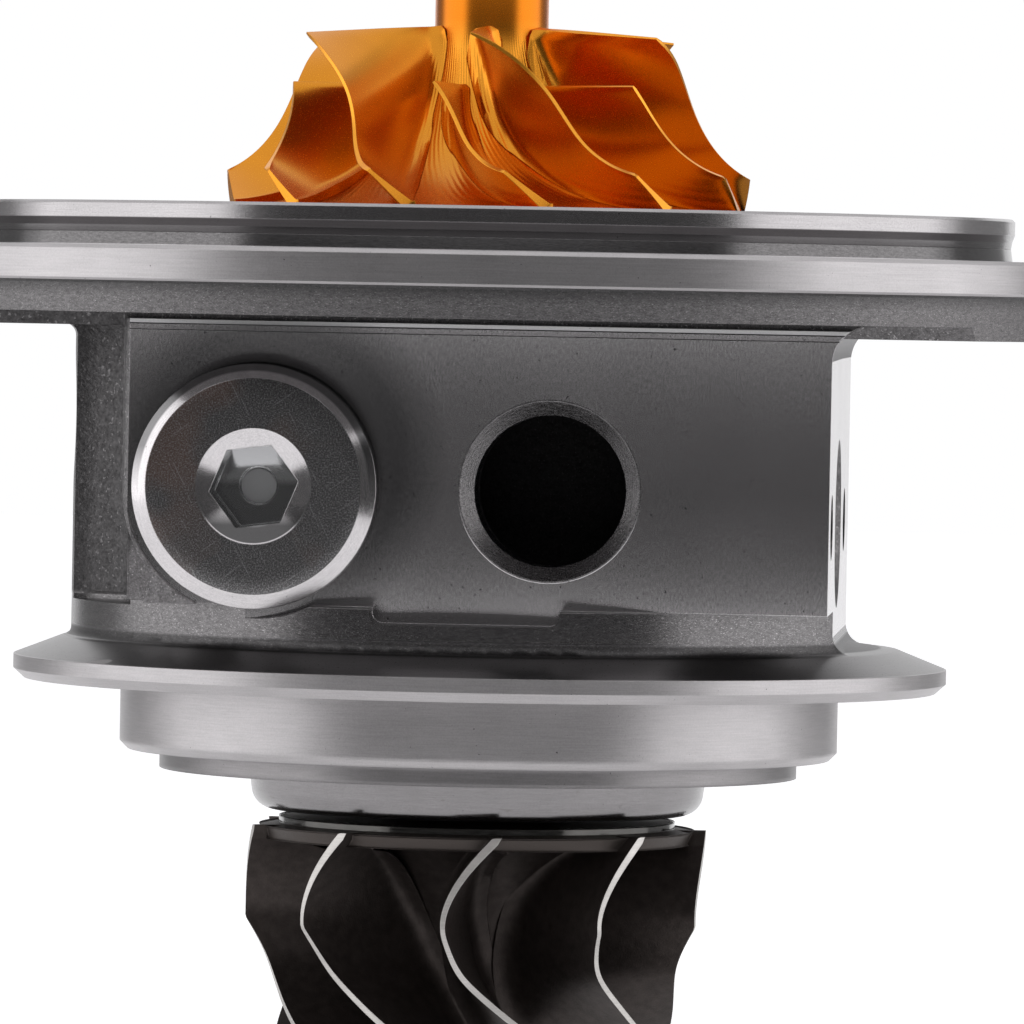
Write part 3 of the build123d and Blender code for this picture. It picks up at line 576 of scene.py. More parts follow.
def housing_cast(tree, vector, at):
    """Look of the housing's cast skin, with the rough, dark and smooth places on it, and painted shade over
    the pocket, lug, foot and rim top.
    """
    lined = lined_coords(tree, at, 3.0)
    coarse = stretched(tree, vector, 0.6, 0.6, 0.6)
    look = dressed(tree, at, cast_look(tree, vector, base=0.12, rough=0.42, grain_mm=0.05), {
        "shelf": cast_look(tree, vector, base=0.30, rough=0.5, grain_mm=0.05),
        # Pocket: dark cast skin with painted shade of the recess over it
        "pocket": cast_look(tree, coarse, base=0.055, rough=0.36, grain_mm=0.08),
        # Painted shade on the lug under the flange
        "lug": cast_look(tree, vector, base=0.05, rough=0.45, grain_mm=0.06),
        "low_band": cast_look(tree, lined, base=0.14, rough=0.27, grain_mm=0.006),
        # Painted shade on the foot's fillet
        "foot": cast_look(tree, lined, base=0.07, rough=0.4, grain_mm=0.004),
        "flange_rim": cast_look(tree, lined, base=0.165, rough=0.55, grain_mm=0.04, speck=2.2),
    })
    # Painted shade: the flange's rim darkened towards its top
    rim_painted_shade = both(tree, zone(tree, at, "flange_rim"), zone(tree, at, "rim_top_painted_shade"))
    return tinted(tree, rim_painted_shade, look, grey(0.05))


def housing_turned(tree, at, look):
    """Look with the turned surfaces over it: cone, pilot, flange top, nick, step and register, the register
    darkened partly as painted shade.
    """
    rings = turned_coords(tree, at["x"], at["y"], at["z"])
    look = dressed(tree, at, look, {"cone": turned_look(tree, rings, base=0.17, rough=0.3)})
    ends = either(tree, zone(tree, at, "pilot"), zone(tree, at, "flange_top"))
    look = blend_looks(tree, ends, look, turned_look(tree, rings, base=0.41, rough=0.37))
    return dressed(tree, at, look, {
        "nick": turned_look(tree, rings, base=0.5, rough=0.5),
        "step": turned_look(tree, rings, base=0.25, rough=0.36),
        # Cast skin of the register, darker than the turned flange partly as painted shade
        "register": cast_look(
            tree, lined_coords(tree, at, 5.0), base=0.12, rough=0.16, grain_mm=0.0008, speck=1.4,
        ),
    })


def housing_milled(tree, vector, at, front, look):
    """Look with the milled faces over it, and the land and the grooves' painted shade at the top of the
    front.
    """
    planes = either(tree, near(tree, at["x"], RIGHT_X), near(tree, at["x"], LEFT_X))
    sides = both(tree, planes, zone(tree, at, "sides"), faces_along(tree, 0))
    rear = both(tree, near(tree, at["y"], REAR_Y), faces_along(tree, 1))
    milled = milled_look(tree, vector, base=0.58, rough=0.19)
    look = blend_looks(tree, either(tree, front, sides, rear), look, milled)
    land = turned_look(tree, lined_coords(tree, at, 3.0), base=0.75, rough=0.35)
    look = blend_looks(tree, both(tree, front, zone(tree, at, "land")), look, land)
    # Painted shade: the two fine grooves are coloured near-black
    grooves = either(tree, *(near(tree, at["z"], height, half) for height, half in GROOVES))
    dark = cast_look(tree, vector, base=0.05, rough=0.4, grain_mm=0.01)
    return blend_looks(tree, both(tree, front, grooves), look, dark)


def crown_height(tree, z, front):
    """Height of the front face's slight bend."""
    rise = minus(tree, z, CROWN_Z)
    bend = ramp(tree, rise, -1.0, 1.0, CROWN_LOW, CROWN_HIGH)
    return both(tree, front, bend, rise, rise)


def housing_iron():
    """Bearing housing: turned flanges, milled faces and cast skin, told apart by place."""
    material, tree, shader = new_material("housing_iron")
    vector = mm_coords(tree)
    at = housing_coords(tree, vector)
    front = both(tree, near(tree, at["y"], FRONT_Y), zone(tree, at, "front"), faces_along(tree, 1))
    look = housing_cast(tree, vector, at)
    look = housing_turned(tree, at, look)
    look = housing_milled(tree, vector, at, front, look)
    bore = turned_coords(tree, at["x"], at["z"], at["y"], *PORT)
    look = dressed(tree, at, look, {
        "port": turned_look(tree, bore, base=0.22, rough=0.26, ring_mm=0.05),
        # Painted shade deep inside the port
        "port_painted_shade": cast_look(tree, vector, base=0.012, rough=0.5),
    })
    # Painted shade round the plug: the front face is darkened there
    plug_shade = both(tree, front, zone(tree, at, "plug_shade"))
    colour, rough, height = tinted(tree, plug_shade, look, grey(0.1))
    height = total(tree, height, crown_height(tree, at["z"], front))
    edge = mix_value(tree, zone(tree, at, "foot"), HOUSING_EDGE, FOOT_EDGE)
    shade_metal(tree, shader, colour, rough, height, edge_mm=edge)
    return material


# Height of the backplate's lip: where it starts to be bright and where it is full
LIP_Z = (48.9, 49.0)


def backplate_steel():
    """Backplate: bright lip over a darker bevel and strip, their darkness painted shade of the recess under
    the lip.
    """
    material, tree, shader = new_material("backplate_steel")
    x, y, z = parts_of(tree, mm_coords(tree))
    rings = turned_coords(tree, x, y, z)
    lip = turned_look(tree, rings, base=0.37, rough=0.19, ring_mm=0.0015)
    # Painted shade: darker turned steel for the bevel and strip in the recess under the lip
    recess_painted_shade = turned_look(tree, rings, base=0.13, rough=0.17, ring_mm=0.001)
    colour, rough, height = blend_looks(tree, ramp(tree, z, *LIP_Z), recess_painted_shade, lip)
    shade_metal(tree, shader, colour, rough, height)
    return material


# Plane of the plug's face, and directions of the two sets of brushing on it
PLUG_FACE_Y = -42.0
PLUG_BRUSH_DEG = (35, -62)
# Height in mm of the face's rim and of its speckle, and bend of the socket's floor in 1/mm
PLUG_DOME_MM = -0.22
PLUG_SPECKLE_MM = 0.012
PLUG_FLOOR_BEND = -0.045


def plug_face_look(tree, vector, at):
    """Look of the plug's face: dark and speckled, brushed two ways and brown at the upper left."""
    speckle = noise(tree, vector, 6.5, 4.0, 0.75)
    brushed = [
        noise(tree, stretched(tree, rotated(tree, vector, degrees), 0.05, 1.0, 1.3), 4.0, 2.0)
        for degrees in PLUG_BRUSH_DEG
    ]
    hairs = either(tree, *brushed)
    patch = noise(tree, stretched(tree, vector, 0.16, 0.1, 0.16), 1.0, 1.0)
    upper_left = minus(tree, minus(tree, at["z"], PLUG[1]), minus(tree, at["x"], PLUG[0]))
    patches = ramp(tree, patch, 0.35, 0.65, -0.45, 0.45)
    tint = total(tree, ramp(tree, upper_left, 0.0, 13.0, -0.1, 0.6), patches)
    base = mix_colour(tree, ramp(tree, tint, 0.2, 0.9), iron(0.12), rgb(0.195, 0.138, 0.12))
    base = mix_colour(tree, ramp(tree, speckle, 0.48, 0.66, 0.0, 0.75), base, grey(0.55))
    base = mix_colour(tree, ramp(tree, hairs, 0.63, 0.73, 0.0, 0.28), base, grey(0.7))
    outwards = ramp(tree, at["radius"], 8.6, 11.6)
    dome = times(tree, math_node(tree, "POWER", outwards, 3), PLUG_DOME_MM)
    height = total(tree, times(tree, speckle, PLUG_SPECKLE_MM), dome)
    return base, ramp(tree, speckle, 0.3, 0.7, 0.26, 0.4), height


def plug_socket_look(tree, at, look):
    """Look with the plug's socket over it: a floor with a painted highlight on its upper part, and a matt
    grey disc.
    """
    colour, rough, height = look
    socket = zone(tree, at, "plug_socket")
    floor = both(tree, socket, faces_along(tree, 1), zone(tree, at, "plug_ring"))
    disc = both(tree, socket, zone(tree, at, "plug_disc"))
    rise = math_node(tree, "MAXIMUM", minus(tree, at["z"], PLUG[1]), 0.0)
    lift = times(tree, times(tree, rise, rise), PLUG_FLOOR_BEND)
    colour = mix_colour(tree, socket, colour, grey(0.42))
    # Painted highlight on the upper part of the socket's floor
    colour = mix_colour(tree, both(tree, floor, ramp(tree, rise, 0.0, 0.8)), colour, grey(0.9))
    colour = mix_colour(tree, disc, colour, grey(0.5))
    return colour, mix_value(tree, disc, rough, 0.6), total(tree, height, both(tree, floor, lift))


def plug_steel():
    """Jacket plug: dark brushed face, bright bevel and dish with painted shade at the bevel's top and the
    dish's bottom, polished socket floor with a painted highlight on its upper part.
    """
    material, tree, shader = new_material("plug_steel")
    vector = mm_coords(tree)
    x, y, z = parts_of(tree, vector)
    at = {"x": x, "y": y, "z": z, "radius": distance(tree, x, z, *PLUG)}
    bright = turned_look(tree, turned_coords(tree, x, z, y, *PLUG), base=0.58, rough=0.15, ring_mm=0.0012)
    flat = both(tree, near(tree, y, PLUG_FACE_Y, 0.03), zone(tree, at, "plug_face"), faces_along(tree, 1))
    look = blend_looks(tree, flat, bright, plug_face_look(tree, vector, at))
    # Painted shade: bevel darker towards its top, dish darker towards its bottom
    look = tinted(tree, zone(tree, at, "plug_bevel"), look, grey(0.13))
    look = tinted(tree, zone(tree, at, "plug_dish"), look, grey(0.06))
    colour, rough, height = plug_socket_look(tree, at, look)
    shade_metal(tree, shader, colour, rough, height, edge_mm=0.18)
    return material


def shield_steel():
    """Heat shield: bright turned steel with faint brown stains."""
    material, tree, shader = new_material("shield_steel")
    vector = mm_coords(tree)
    x, y, z = parts_of(tree, vector)
    rings = turned_coords(tree, x, y, z)
    colour, rough, height = turned_look(tree, rings, base=0.235, rough=0.22, ring_mm=0.0012)
    stains = noise(tree, stretched(tree, vector, 0.6, 0.6, 1.6), 0.5, 3.0, 0.6)
    colour = mix_colour(tree, ramp(tree, stains, 0.66, 0.72, 0.0, 0.45), colour, rgb(0.14, 0.13, 0.12))
    shade_metal(tree, shader, colour, rough, height)
    return material


# Cutter marks on the compressor hub follow the blades' sweep
HUB_SWEEP = 0.534
CUTTER_PASSES = 144.0
CUTTER_MARK_MM = 0.009


def off_hub(tree, radius, z):
    """Distance in mm from the compressor hub's curved surface, square to the shaft."""
    drop = math_node(tree, "DIVIDE", minus(tree, HUB_TOP, z), HUB_TOP - HUB_FLOOR)
    bow = math_node(tree, "SQRT", minus(tree, 1.0, times(tree, drop, drop)))
    hub_r = math_node(tree, "MULTIPLY_ADD", bow, NOSE_R - EXDUCER_R, EXDUCER_R)
    return math_node(tree, "ABSOLUTE", minus(tree, radius, hub_r))


def cutter_marks(tree, x, y, z, waver):
    """Height in mm of the cutter's passes over the compressor hub, which waver with a noise."""
    radius = distance(tree, x, y)
    angle = math_node(tree, "ARCTAN2", x, times(tree, y, -1.0))
    sweep = times(tree, math_node(tree, "LOGARITHM", radius, math.e), HUB_SWEEP)
    passes = times(tree, minus(tree, angle, sweep), CUTTER_PASSES)
    marks = math_node(tree, "SINE", total(tree, passes, times(tree, waver, 6.0)))
    on_hub = ramp(tree, off_hub(tree, radius, z), 2.2, 0.2)
    return both(tree, marks, on_hub, ramp(tree, z, HUB_TOP - 0.5, HUB_TOP - 4.0), CUTTER_MARK_MM)


def anodised_orange():
    """Orange anodised aluminium with fine cutter marks, of a deeper orange on the nose."""
    material, tree, shader = new_material("anodised_orange")
    vector = mm_coords(tree)
    x, y, z = parts_of(tree, vector)
    broad = noise(tree, vector, 0.15, 2.0)
    fine = noise(tree, vector, 9.0)
    shade = total(tree, swing(tree, broad, 0.25), swing(tree, fine, 0.06), 0.5)
    base = mix_colour(tree, shade, rgb(0.62, 0.236, 0.021), rgb(0.74, 0.288, 0.029))
    nose = both(
        tree, ramp(tree, z, HUB_TOP - 2.0, HUB_TOP + 1.0),
        ramp(tree, distance(tree, x, y), NOSE_R + 0.6, NOSE_R + 0.1),
    )
    base = mix_colour(tree, nose, base, rgb(0.62, 0.178, 0.012))
    height = total(tree, times(tree, fine, 0.0004), cutter_marks(tree, x, y, z, broad))
    shade_metal(tree, shader, base, ramp(tree, fine, 0.25, 0.75, 0.25, 0.28), height, edge_mm=0.1)
    return material


def anodised_edge():
    """Paler orange of the blades' thin edges."""
    material, tree, shader = new_material("anodised_edge")
    fine = noise(tree, mm_coords(tree), 8.0)
    base = mottled(tree, fine, rgb(0.76, 0.30, 0.03), rgb(0.88, 0.38, 0.045))
    shade_metal(tree, shader, base, 0.3, times(tree, fine, 0.003))
    return material


def turbine_alloy():
    """Dark investment casting, a little lighter from the disc's underside upwards as a painted reflection.
    """
    material, tree, shader = new_material("turbine_alloy")
    vector = mm_coords(tree)
    z = parts_of(tree, vector)[2]
    coarse = noise(tree, vector, 0.9)
    fine = noise(tree, vector, 5.0)
    base = mottled(tree, coarse, rgb(0.040, 0.032, 0.029), rgb(0.062, 0.050, 0.046))
    # Painted reflection: the casting is lighter from the disc's underside upwards
    back = ramp(tree, z, TURBINE_RIM_LOW - 0.1, TURBINE_RIM_LOW + 0.1)
    base = mix_colour(tree, back, base, rgb(0.066, 0.055, 0.050))
    height = total(tree, times(tree, coarse, 0.03), times(tree, fine, 0.02))
    shade_metal(tree, shader, base, ramp(tree, fine, 0.3, 0.7, 0.42, 0.52), height, metallic=0.7)
    return material


def plain_metal(name, colour, rough, height_mm=0.003):
    """Machined metal with fine grain and faint clouding."""
    material, tree, shader = new_material(name)
    x, y, z = parts_of(tree, mm_coords(tree))
    rings = noise(tree, turned_coords(tree, x, y, z), 5.0, 4.0, 0.6)
    clouds = noise(tree, mm_coords(tree), 0.3)
    shade = total(tree, swing(tree, rings, 0.2), swing(tree, clouds, 0.2), 0.5)
    dark = rgb(*(c * 0.7 for c in colour))
    light = rgb(*(min(1, c * 1.25) for c in colour))
    base = mix_colour(tree, shade, dark, light)
    tone = ramp(tree, rings, 0.3, 0.7, rough - 0.05, rough + 0.05)
    shade_metal(tree, shader, base, tone, times(tree, rings, height_mm))
    return material


def seal_rubber():
    """Black rubber of the O-ring."""
    material, tree, shader = new_material("seal_rubber")
    fine = noise(tree, mm_coords(tree), 4.0)
    base = mottled(tree, fine, grey(0.015), grey(0.03))
    shade_metal(tree, shader, base, 0.55, times(tree, fine, 0.01), metallic=0.0)
    return material


# Compressor wheel, matched to the CAD wheel

WHEEL_PHASE = 4.0
EXDUCER_R = 28.0
INDUCER_R = 21.5
NOSE_R = 6.07
NOSE_TOP = 76.5
HUB_TOP = 70.1
INDUCER_Z = 69.1
HUB_FLOOR = 50.7
WHEEL_BACK = 49.45
TIP_EXIT_Z = 54.5
SPLITTER_Z = 63.9
SHROUD_R = 31.0
SHROUD_Z = 66.0
STUB_R = 2.81
# Blade thickness at tip and root, the root's fillet, and how deep a blade runs into the hub
BLADE_TIP = 0.4
BLADE_ROOT = 1.2
BLADE_FILLET = 1.5
BLADE_SINK = 0.25
# The fillet shrinks by a share over the last part of a blade
FILLET_LOSS = 0.75
FILLET_LOSS_START = 0.7
# The front edge thins over a share of the blade's length, to a share of its thickness
FRONT_LENGTH = 0.02
FRONT_THICKNESS = 0.55
FULL_BLADES = 6
# Root: turn along the hub's quarter ellipse and wrap. Tip: share of the height and wrap. Degrees.
COMPRESSOR_STATIONS = [
    (-5, -11.5, -0.07, -13.5),
    (5, -5.6, 0.09, 1.0),
    (14, -0.4, 0.28, 10.9),
    (28, 7.2, 0.52, 18.5),
    (46, 20.2, 0.76, 23.5),
    (66, 32.0, 0.90, 27.5),
    (90, 43.0, 1.00, 33.2),
    (100, 47.0, 1.05, 38.0),
]


def polar(radius, degrees, height):
    """Points at angles measured from the front (-Y) towards +X."""
    angle = np.radians(degrees)
    return np.stack([radius * np.sin(angle), -radius * np.cos(angle), height + 0 * angle], -1)


def shroud_radius(height):
    """Radius of the compressor blades' turned tips at a height."""
    reach = (SHROUD_R - EXDUCER_R) / (SHROUD_R - INDUCER_R)
    drop = (SHROUD_Z - TIP_EXIT_Z) / math.sqrt(1 - reach**2)
    depth = np.clip((SHROUD_Z - height) / drop, 0, 1)
    return SHROUD_R - (SHROUD_R - INDUCER_R) * np.sqrt(1 - depth**2)


def hub_point(degrees):
    """Radius and height of the hub's quarter ellipse at a turn along it."""
    turn = np.radians(degrees)
    return (
        EXDUCER_R - (EXDUCER_R - NOSE_R) * np.cos(turn),
        HUB_TOP - (HUB_TOP - HUB_FLOOR) * np.sin(turn),
    )


def blade_surface(q, v):
    """Points of a compressor blade's middle surface at root turns q and shares v of the span."""
    turns, root_wraps, drops, tip_wraps = zip(*COMPRESSOR_STATIONS)
    root_r, root_z = hub_point(q)
    tip_z = INDUCER_Z + (TIP_EXIT_Z - INDUCER_Z) * smooth_curve(turns, drops)(q)
    roots = polar(root_r, smooth_curve(turns, root_wraps)(q) + WHEEL_PHASE, root_z)
    tips = polar(shroud_radius(tip_z), smooth_curve(turns, tip_wraps)(q) + WHEEL_PHASE, tip_z)
    return roots + (tips - roots) * v[..., None]


def blade_start(start_z, v):
    """Root turn at which a blade that is cut off at a height starts, for a share v of the span."""
    if start_z is None:
        return 0.0
    low, high = 0.0, 80.0
    for _ in range(40):
        middle = (low + high) / 2
        z = blade_surface(np.array([middle]), np.array([v]))[0, 2]
        low, high = (middle, high) if z > start_z else (low, middle)
    return low


def blade_half(u, v, height):
    """Half the thickness of a compressor blade, with the root's fillet and the rounded front edge."""
    half = (BLADE_TIP + (BLADE_ROOT - BLADE_TIP) * (1 - v) ** 1.5) / 2
    late = np.clip((u - FILLET_LOSS_START) / (1 - FILLET_LOSS_START), 0, 1)
    fillet = BLADE_FILLET * (1 - FILLET_LOSS * late)[:, None]
    rise = np.clip(1 - height / fillet, 0, 1)
    half = half + fillet * (1 - np.sqrt(1 - rise**2))
    front = np.clip(u / FRONT_LENGTH, 0, 1)[:, None]
    return half * (FRONT_THICKNESS + (1 - FRONT_THICKNESS) * np.sqrt(front))


def blade_mesh(start_z, turn_deg, along=56, across=26):
    """One compressor blade as a closed mesh: two sides with a root fillet, and narrow edges."""
    shares = np.linspace(0, 1, across) ** 1.6
    starts = np.array([blade_start(start_z, v) for v in shares])
    u = np.linspace(0, 1, along)
    q = starts[None, :] + (90 - starts[None, :]) * u[:, None]
    v = np.broadcast_to(shares[None, :], q.shape)
    eps = 0.05
    middle = blade_surface(q, v)
    d_along = blade_surface(q + eps, v) - blade_surface(q - eps, v)
    d_across = blade_surface(q, np.broadcast_to(1.0, q.shape)) - blade_surface(q, np.zeros(q.shape))
    span = np.linalg.norm(d_across, axis=-1)
    normal = np.cross(d_along, d_across)
    normal /= np.linalg.norm(normal, axis=-1)[..., None]
    half = blade_half(u, v, v * span)
    sides = []
    for sign in (1, -1):
        side = middle + normal * (sign * half)[..., None]
        side[:, 0, :] = sink_into_hub(side[:, 0, :], BLADE_SINK)
        sides.append(keep_below_tip(side))
    angle = math.radians(turn_deg)
    c, s = math.cos(angle), math.sin(angle)
    rotate = np.array(((c, -s, 0), (s, c, 0), (0, 0, 1)))
    verts = np.concatenate([side.reshape(-1, 3) for side in sides]) @ rotate.T
    return verts, *blade_faces(along, across, front_kind=1)


def sink_into_hub(points, depth):
    """Points moved to lie a little under the hub's curved surface."""
    r = np.hypot(points[:, 0], points[:, 1])
    wide = EXDUCER_R - NOSE_R
    high = HUB_TOP - HUB_FLOOR
    along = np.clip((EXDUCER_R - r) / wide, 0, 1)
    surface = HUB_TOP - high * np.sqrt(1 - along**2)
    out = points.copy()
    outward = np.stack([along / wide * high, np.sqrt(1 - along**2)], -1)
    outward /= np.linalg.norm(outward, axis=-1)[:, None]
    steep = r < NOSE_R + 0.02
    out[:, 2] = np.where(steep, points[:, 2], surface - depth * outward[:, 1])
    shrink = (r - depth * outward[:, 0]) / r
    out[:, 0] *= shrink
    out[:, 1] *= shrink
    return out


def keep_below_tip(side):
    """Tip row held to the shroud line and trailing row to the exducer's cylinder."""
    tip = side[:, -1, :]
    r = np.hypot(tip[:, 0], tip[:, 1])
    wanted = np.minimum(shroud_radius(tip[:, 2]), EXDUCER_R)
    side[:, -1, :2] *= (wanted / r)[:, None]
    last = side[-1, :, :]
    r = np.hypot(last[:, 0], last[:, 1])
    side[-1, :, :2] *= np.minimum(1, EXDUCER_R / r)[:, None]
    return side


def make_compressor_wheel(gold, edge):
    """Compressor wheel: hub with a flat back, six full blades and six splitters."""
    hub = [(STUB_R, NOSE_TOP, 0), (NOSE_R, NOSE_TOP, 0.4)]
    hub += [(*hub_point(degrees), 0) for degrees in np.linspace(0, 90, 46)[:-1]]
    hub += [(EXDUCER_R, HUB_FLOOR, 0.12), (EXDUCER_R, WHEEL_BACK, 0.12), (STUB_R, WHEEL_BACK, 0)]
    verts, faces = revolved(round_corners(hub)[::-1], 288)
    kinds = [0] * len(faces)
    for k in range(FULL_BLADES):
        turn = 360 / FULL_BLADES * k
        for start_z, offset in ((None, 0), (SPLITTER_Z, 180 / FULL_BLADES)):
            add_shell(blade_mesh(start_z, turn + offset), verts, faces, kinds)
    wheel = mesh_piece("compressor_wheel_milled", verts, faces, [gold, edge], kinds, 40)
    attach(wheel, "rotor")
    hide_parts("compressor_wheel")
    return wheel


# Turbine wheel, matched to the CAD wheel

TURBINE_PHASE = 8.7
TURBINE_R = 24.6
TURBINE_TOP = -15.6
TURBINE_BLADE_TOP = -15.15
TURBINE_RIM_R = 23.3
TURBINE_RIM_TOP = -15.05
TURBINE_RIM_LOW = -16.7
TURBINE_DISC_R = 21.2
TURBINE_DISC_TOP = -14.2
WELD_Z = -12.9
WELD_R = 8.5
TURBINE_INLET_Z = -25.3
TURBINE_MID = (22.3, -29.5)
TURBINE_OUTLET_R = 21.3
TURBINE_SHROUD_END = -35.6
TURBINE_BOTTOM = -38.6
TURBINE_NOSE_R = 6.0
TURBINE_NOSE_Z = -40.4
TURBINE_KEY = 8.5
TURBINE_KEY_Z = -43.2
TURBINE_KEY_CHAMFER = 0.35
TURBINE_BLADES = 9
# Blade thickness at the tip, at the tip lower down, the share of the height over which it changes,
# the thickness at the root, the root's fillet, and how deep a blade runs into the hub
TURBINE_TIP = 0.9
TURBINE_TIP_OUT = 0.5
TURBINE_TIP_TAPER = 0.39
TURBINE_ROOT = 2.0
TURBINE_FILLET = 2.2
TURBINE_SINK = 0.3
# Share of the wheel's height and wrap in degrees
TURBINE_STATIONS = [
    (-0.04, 1.8),
    (0.13, -6.5),
    (0.25, -10.6),
    (0.38, -12.6),
    (0.51, -11.3),
    (0.63, -7.8),
    (0.74, -0.8),
    (0.84, 7.0),
    (0.92, 14.0),
    (1.04, 25.0),
]


def turbine_hub_radius(height):
    """Radius of the hub's quarter ellipse at a height."""
    depth = np.clip((height - TURBINE_BOTTOM) / (TURBINE_TOP - TURBINE_BOTTOM), 0, 1)
    return TURBINE_DISC_R - (TURBINE_DISC_R - TURBINE_NOSE_R) * np.sqrt(1 - depth**2)


def turbine_tip_radius(height):
    """Radius of the ground blade tips at a height: inlet cylinder, shroud curve and outlet cylinder."""
    ax, az = TURBINE_R, TURBINE_INLET_Z
    bx, bz = TURBINE_MID
    cx, cz = TURBINE_OUTLET_R, TURBINE_SHROUD_END
    curve = smooth_curve((cz, bz, az), (cx, bx, ax))
    inside = curve(np.clip(height, cz, az))
    return np.where(height > az, TURBINE_R, inside)


def turbine_half(u, radius, root_r):
    """Half the thickness of a turbine blade, with the root's fillet."""
    tip = TURBINE_TIP_OUT + (TURBINE_TIP - TURBINE_TIP_OUT) * np.clip(1 - u / TURBINE_TIP_TAPER, 0, 1)
    share = (radius - TURBINE_NOSE_R) / (TURBINE_R - TURBINE_NOSE_R)
    half = (tip[:, None] + (TURBINE_ROOT - tip[:, None]) * np.clip(1 - share, 0, 1) ** 1.4) / 2
    height = radius - root_r[:, None] - TURBINE_SINK
    rise = np.clip(1 - height / TURBINE_FILLET, 0, 1)
    return half + TURBINE_FILLET * (1 - np.sqrt(1 - rise**2)) * 0.8


def turbine_blade_mesh(turn_deg, along=60, across=24):
    """One turbine blade as a closed mesh, from the disc's top down to the hub's end."""
    drops, wraps = zip(*TURBINE_STATIONS)
    wrap = smooth_curve(drops, wraps)
    length = TURBINE_BOTTOM - TURBINE_TOP
    start = (TURBINE_BLADE_TOP - TURBINE_TOP) / length
    u = np.linspace(start, 1, along)
    shares = np.linspace(0, 1, across) ** 1.5
    z = TURBINE_TOP + length * u
    root_r = turbine_hub_radius(z) - TURBINE_SINK
    tip_r = turbine_tip_radius(z)
    radius = root_r[:, None] + (tip_r - root_r)[:, None] * shares[None, :]

    def wraps_at(share):
        return np.broadcast_to((wrap(share) + TURBINE_PHASE + turn_deg)[:, None], radius.shape)

    degrees = wraps_at(u)
    height = np.broadcast_to(z[:, None], radius.shape)
    middle = polar(radius, degrees, height)
    eps = 0.002
    ahead = polar(radius, wraps_at(u + eps), height + length * eps)
    outward = polar(np.ones(radius.shape), degrees, np.zeros(radius.shape))
    normal = np.cross(ahead - middle, outward)
    normal /= np.linalg.norm(normal, axis=-1)[..., None]
    half = turbine_half(u, radius, root_r)
    sides = [middle + normal * (sign * half)[..., None] for sign in (1, -1)]
    for side in sides:
        r = np.hypot(side[:, -1, 0], side[:, -1, 1])
        side[:, -1, :2] *= (tip_r / r)[:, None]
        side[0, :, 2] = TURBINE_BLADE_TOP
        side[-1, :, 2] = TURBINE_BOTTOM
        side[:, :, 2] = np.clip(side[:, :, 2], TURBINE_BOTTOM, TURBINE_BLADE_TOP)
    verts = np.concatenate([side.reshape(-1, 3) for side in sides])
    return verts, *blade_faces(along, across, front_kind=0)


def turbine_key_mesh():
    """Hexagon on the turbine's nose for holding the rotor, with a chamfered end."""
    corner = TURBINE_KEY / math.sqrt(3)
    rings = [
        (corner, TURBINE_NOSE_Z + TURBINE_SINK), (corner, TURBINE_KEY_Z + TURBINE_KEY_CHAMFER),
        (corner - TURBINE_KEY_CHAMFER, TURBINE_KEY_Z),
    ]
    verts = []
    for radius, z in rings:
        for k in range(6):
            a = math.radians(60 * k)
            verts.append((radius * math.cos(a), radius * math.sin(a), z))
    faces = []
    for low in (0, 6):
        for k in range(6):
            n = (k + 1) % 6
            faces.append((low + n, low + k, low + k + 6, low + n + 6))
    faces.append(tuple(range(12, 18))[::-1])
    faces.append(tuple(range(6)))
    return verts, faces, [0] * len(faces)


def turbine_hub_mesh():
    """Turned body of the turbine wheel, with the polished ring round its disc in material 2."""
    hub_z = np.linspace(TURBINE_BOTTOM, TURBINE_RIM_LOW, 50)[1:]
    outline = [
        (0, TURBINE_NOSE_Z, 0), (TURBINE_NOSE_R, TURBINE_NOSE_Z, 0.5), (TURBINE_NOSE_R, TURBINE_BOTTOM, 0),
    ]
    outline += [(float(turbine_hub_radius(z)), float(z), 0) for z in hub_z]
    outline += [
        (TURBINE_RIM_R, TURBINE_RIM_LOW, 0.25), (TURBINE_RIM_R, TURBINE_RIM_TOP, 0.2),
        (TURBINE_DISC_R, TURBINE_RIM_TOP, 0), (TURBINE_DISC_R, TURBINE_DISC_TOP, 0.15),
        (WELD_R, TURBINE_DISC_TOP, 0.3), (WELD_R, WELD_Z, 0), (0, WELD_Z, 0),
    ]
    verts, faces = revolved(round_corners(outline)[::-1], 252)

    def on_ring(r, z):
        return abs(r - TURBINE_DISC_R) < 0.3 and z > TURBINE_RIM_TOP - 0.05

    kinds = []
    for face in faces:
        points = [verts[i] for i in face]
        kinds.append(2 if all(on_ring(math.hypot(x, y), z) for x, y, z in points) else 0)
    return verts, faces, kinds


def make_turbine_wheel(casting, ground, polished):
    """Turbine wheel: turned body, hexagon on its nose and nine blades with ground tips."""
    verts, faces, kinds = turbine_hub_mesh()
    add_shell(turbine_key_mesh(), verts, faces, kinds)
    for k in range(TURBINE_BLADES):
        add_shell(turbine_blade_mesh(360 / TURBINE_BLADES * k), verts, faces, kinds)
    wheel = mesh_piece("turbine_wheel_cast", verts, faces, [casting, ground, polished], kinds, 40)
    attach(wheel, "rotor")
    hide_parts("turbine_wheel")
    return wheel


# Lights, floor and background

FLOOR_Z = -43.2
FLOOR_FRONT = -320.0
FLOOR_HALF = 2500.0
# Height in metres of the point that the soft boxes face
LIGHT_TARGET_Z = 0.015


def seen_directly(tree):
    """1 for rays from the camera and for reflected and refracted rays."""
    path = add_node(tree, "ShaderNodeLightPath").outputs
    return either(tree, path["Is Camera Ray"], path["Is Glossy Ray"], path["Is Transmission Ray"])


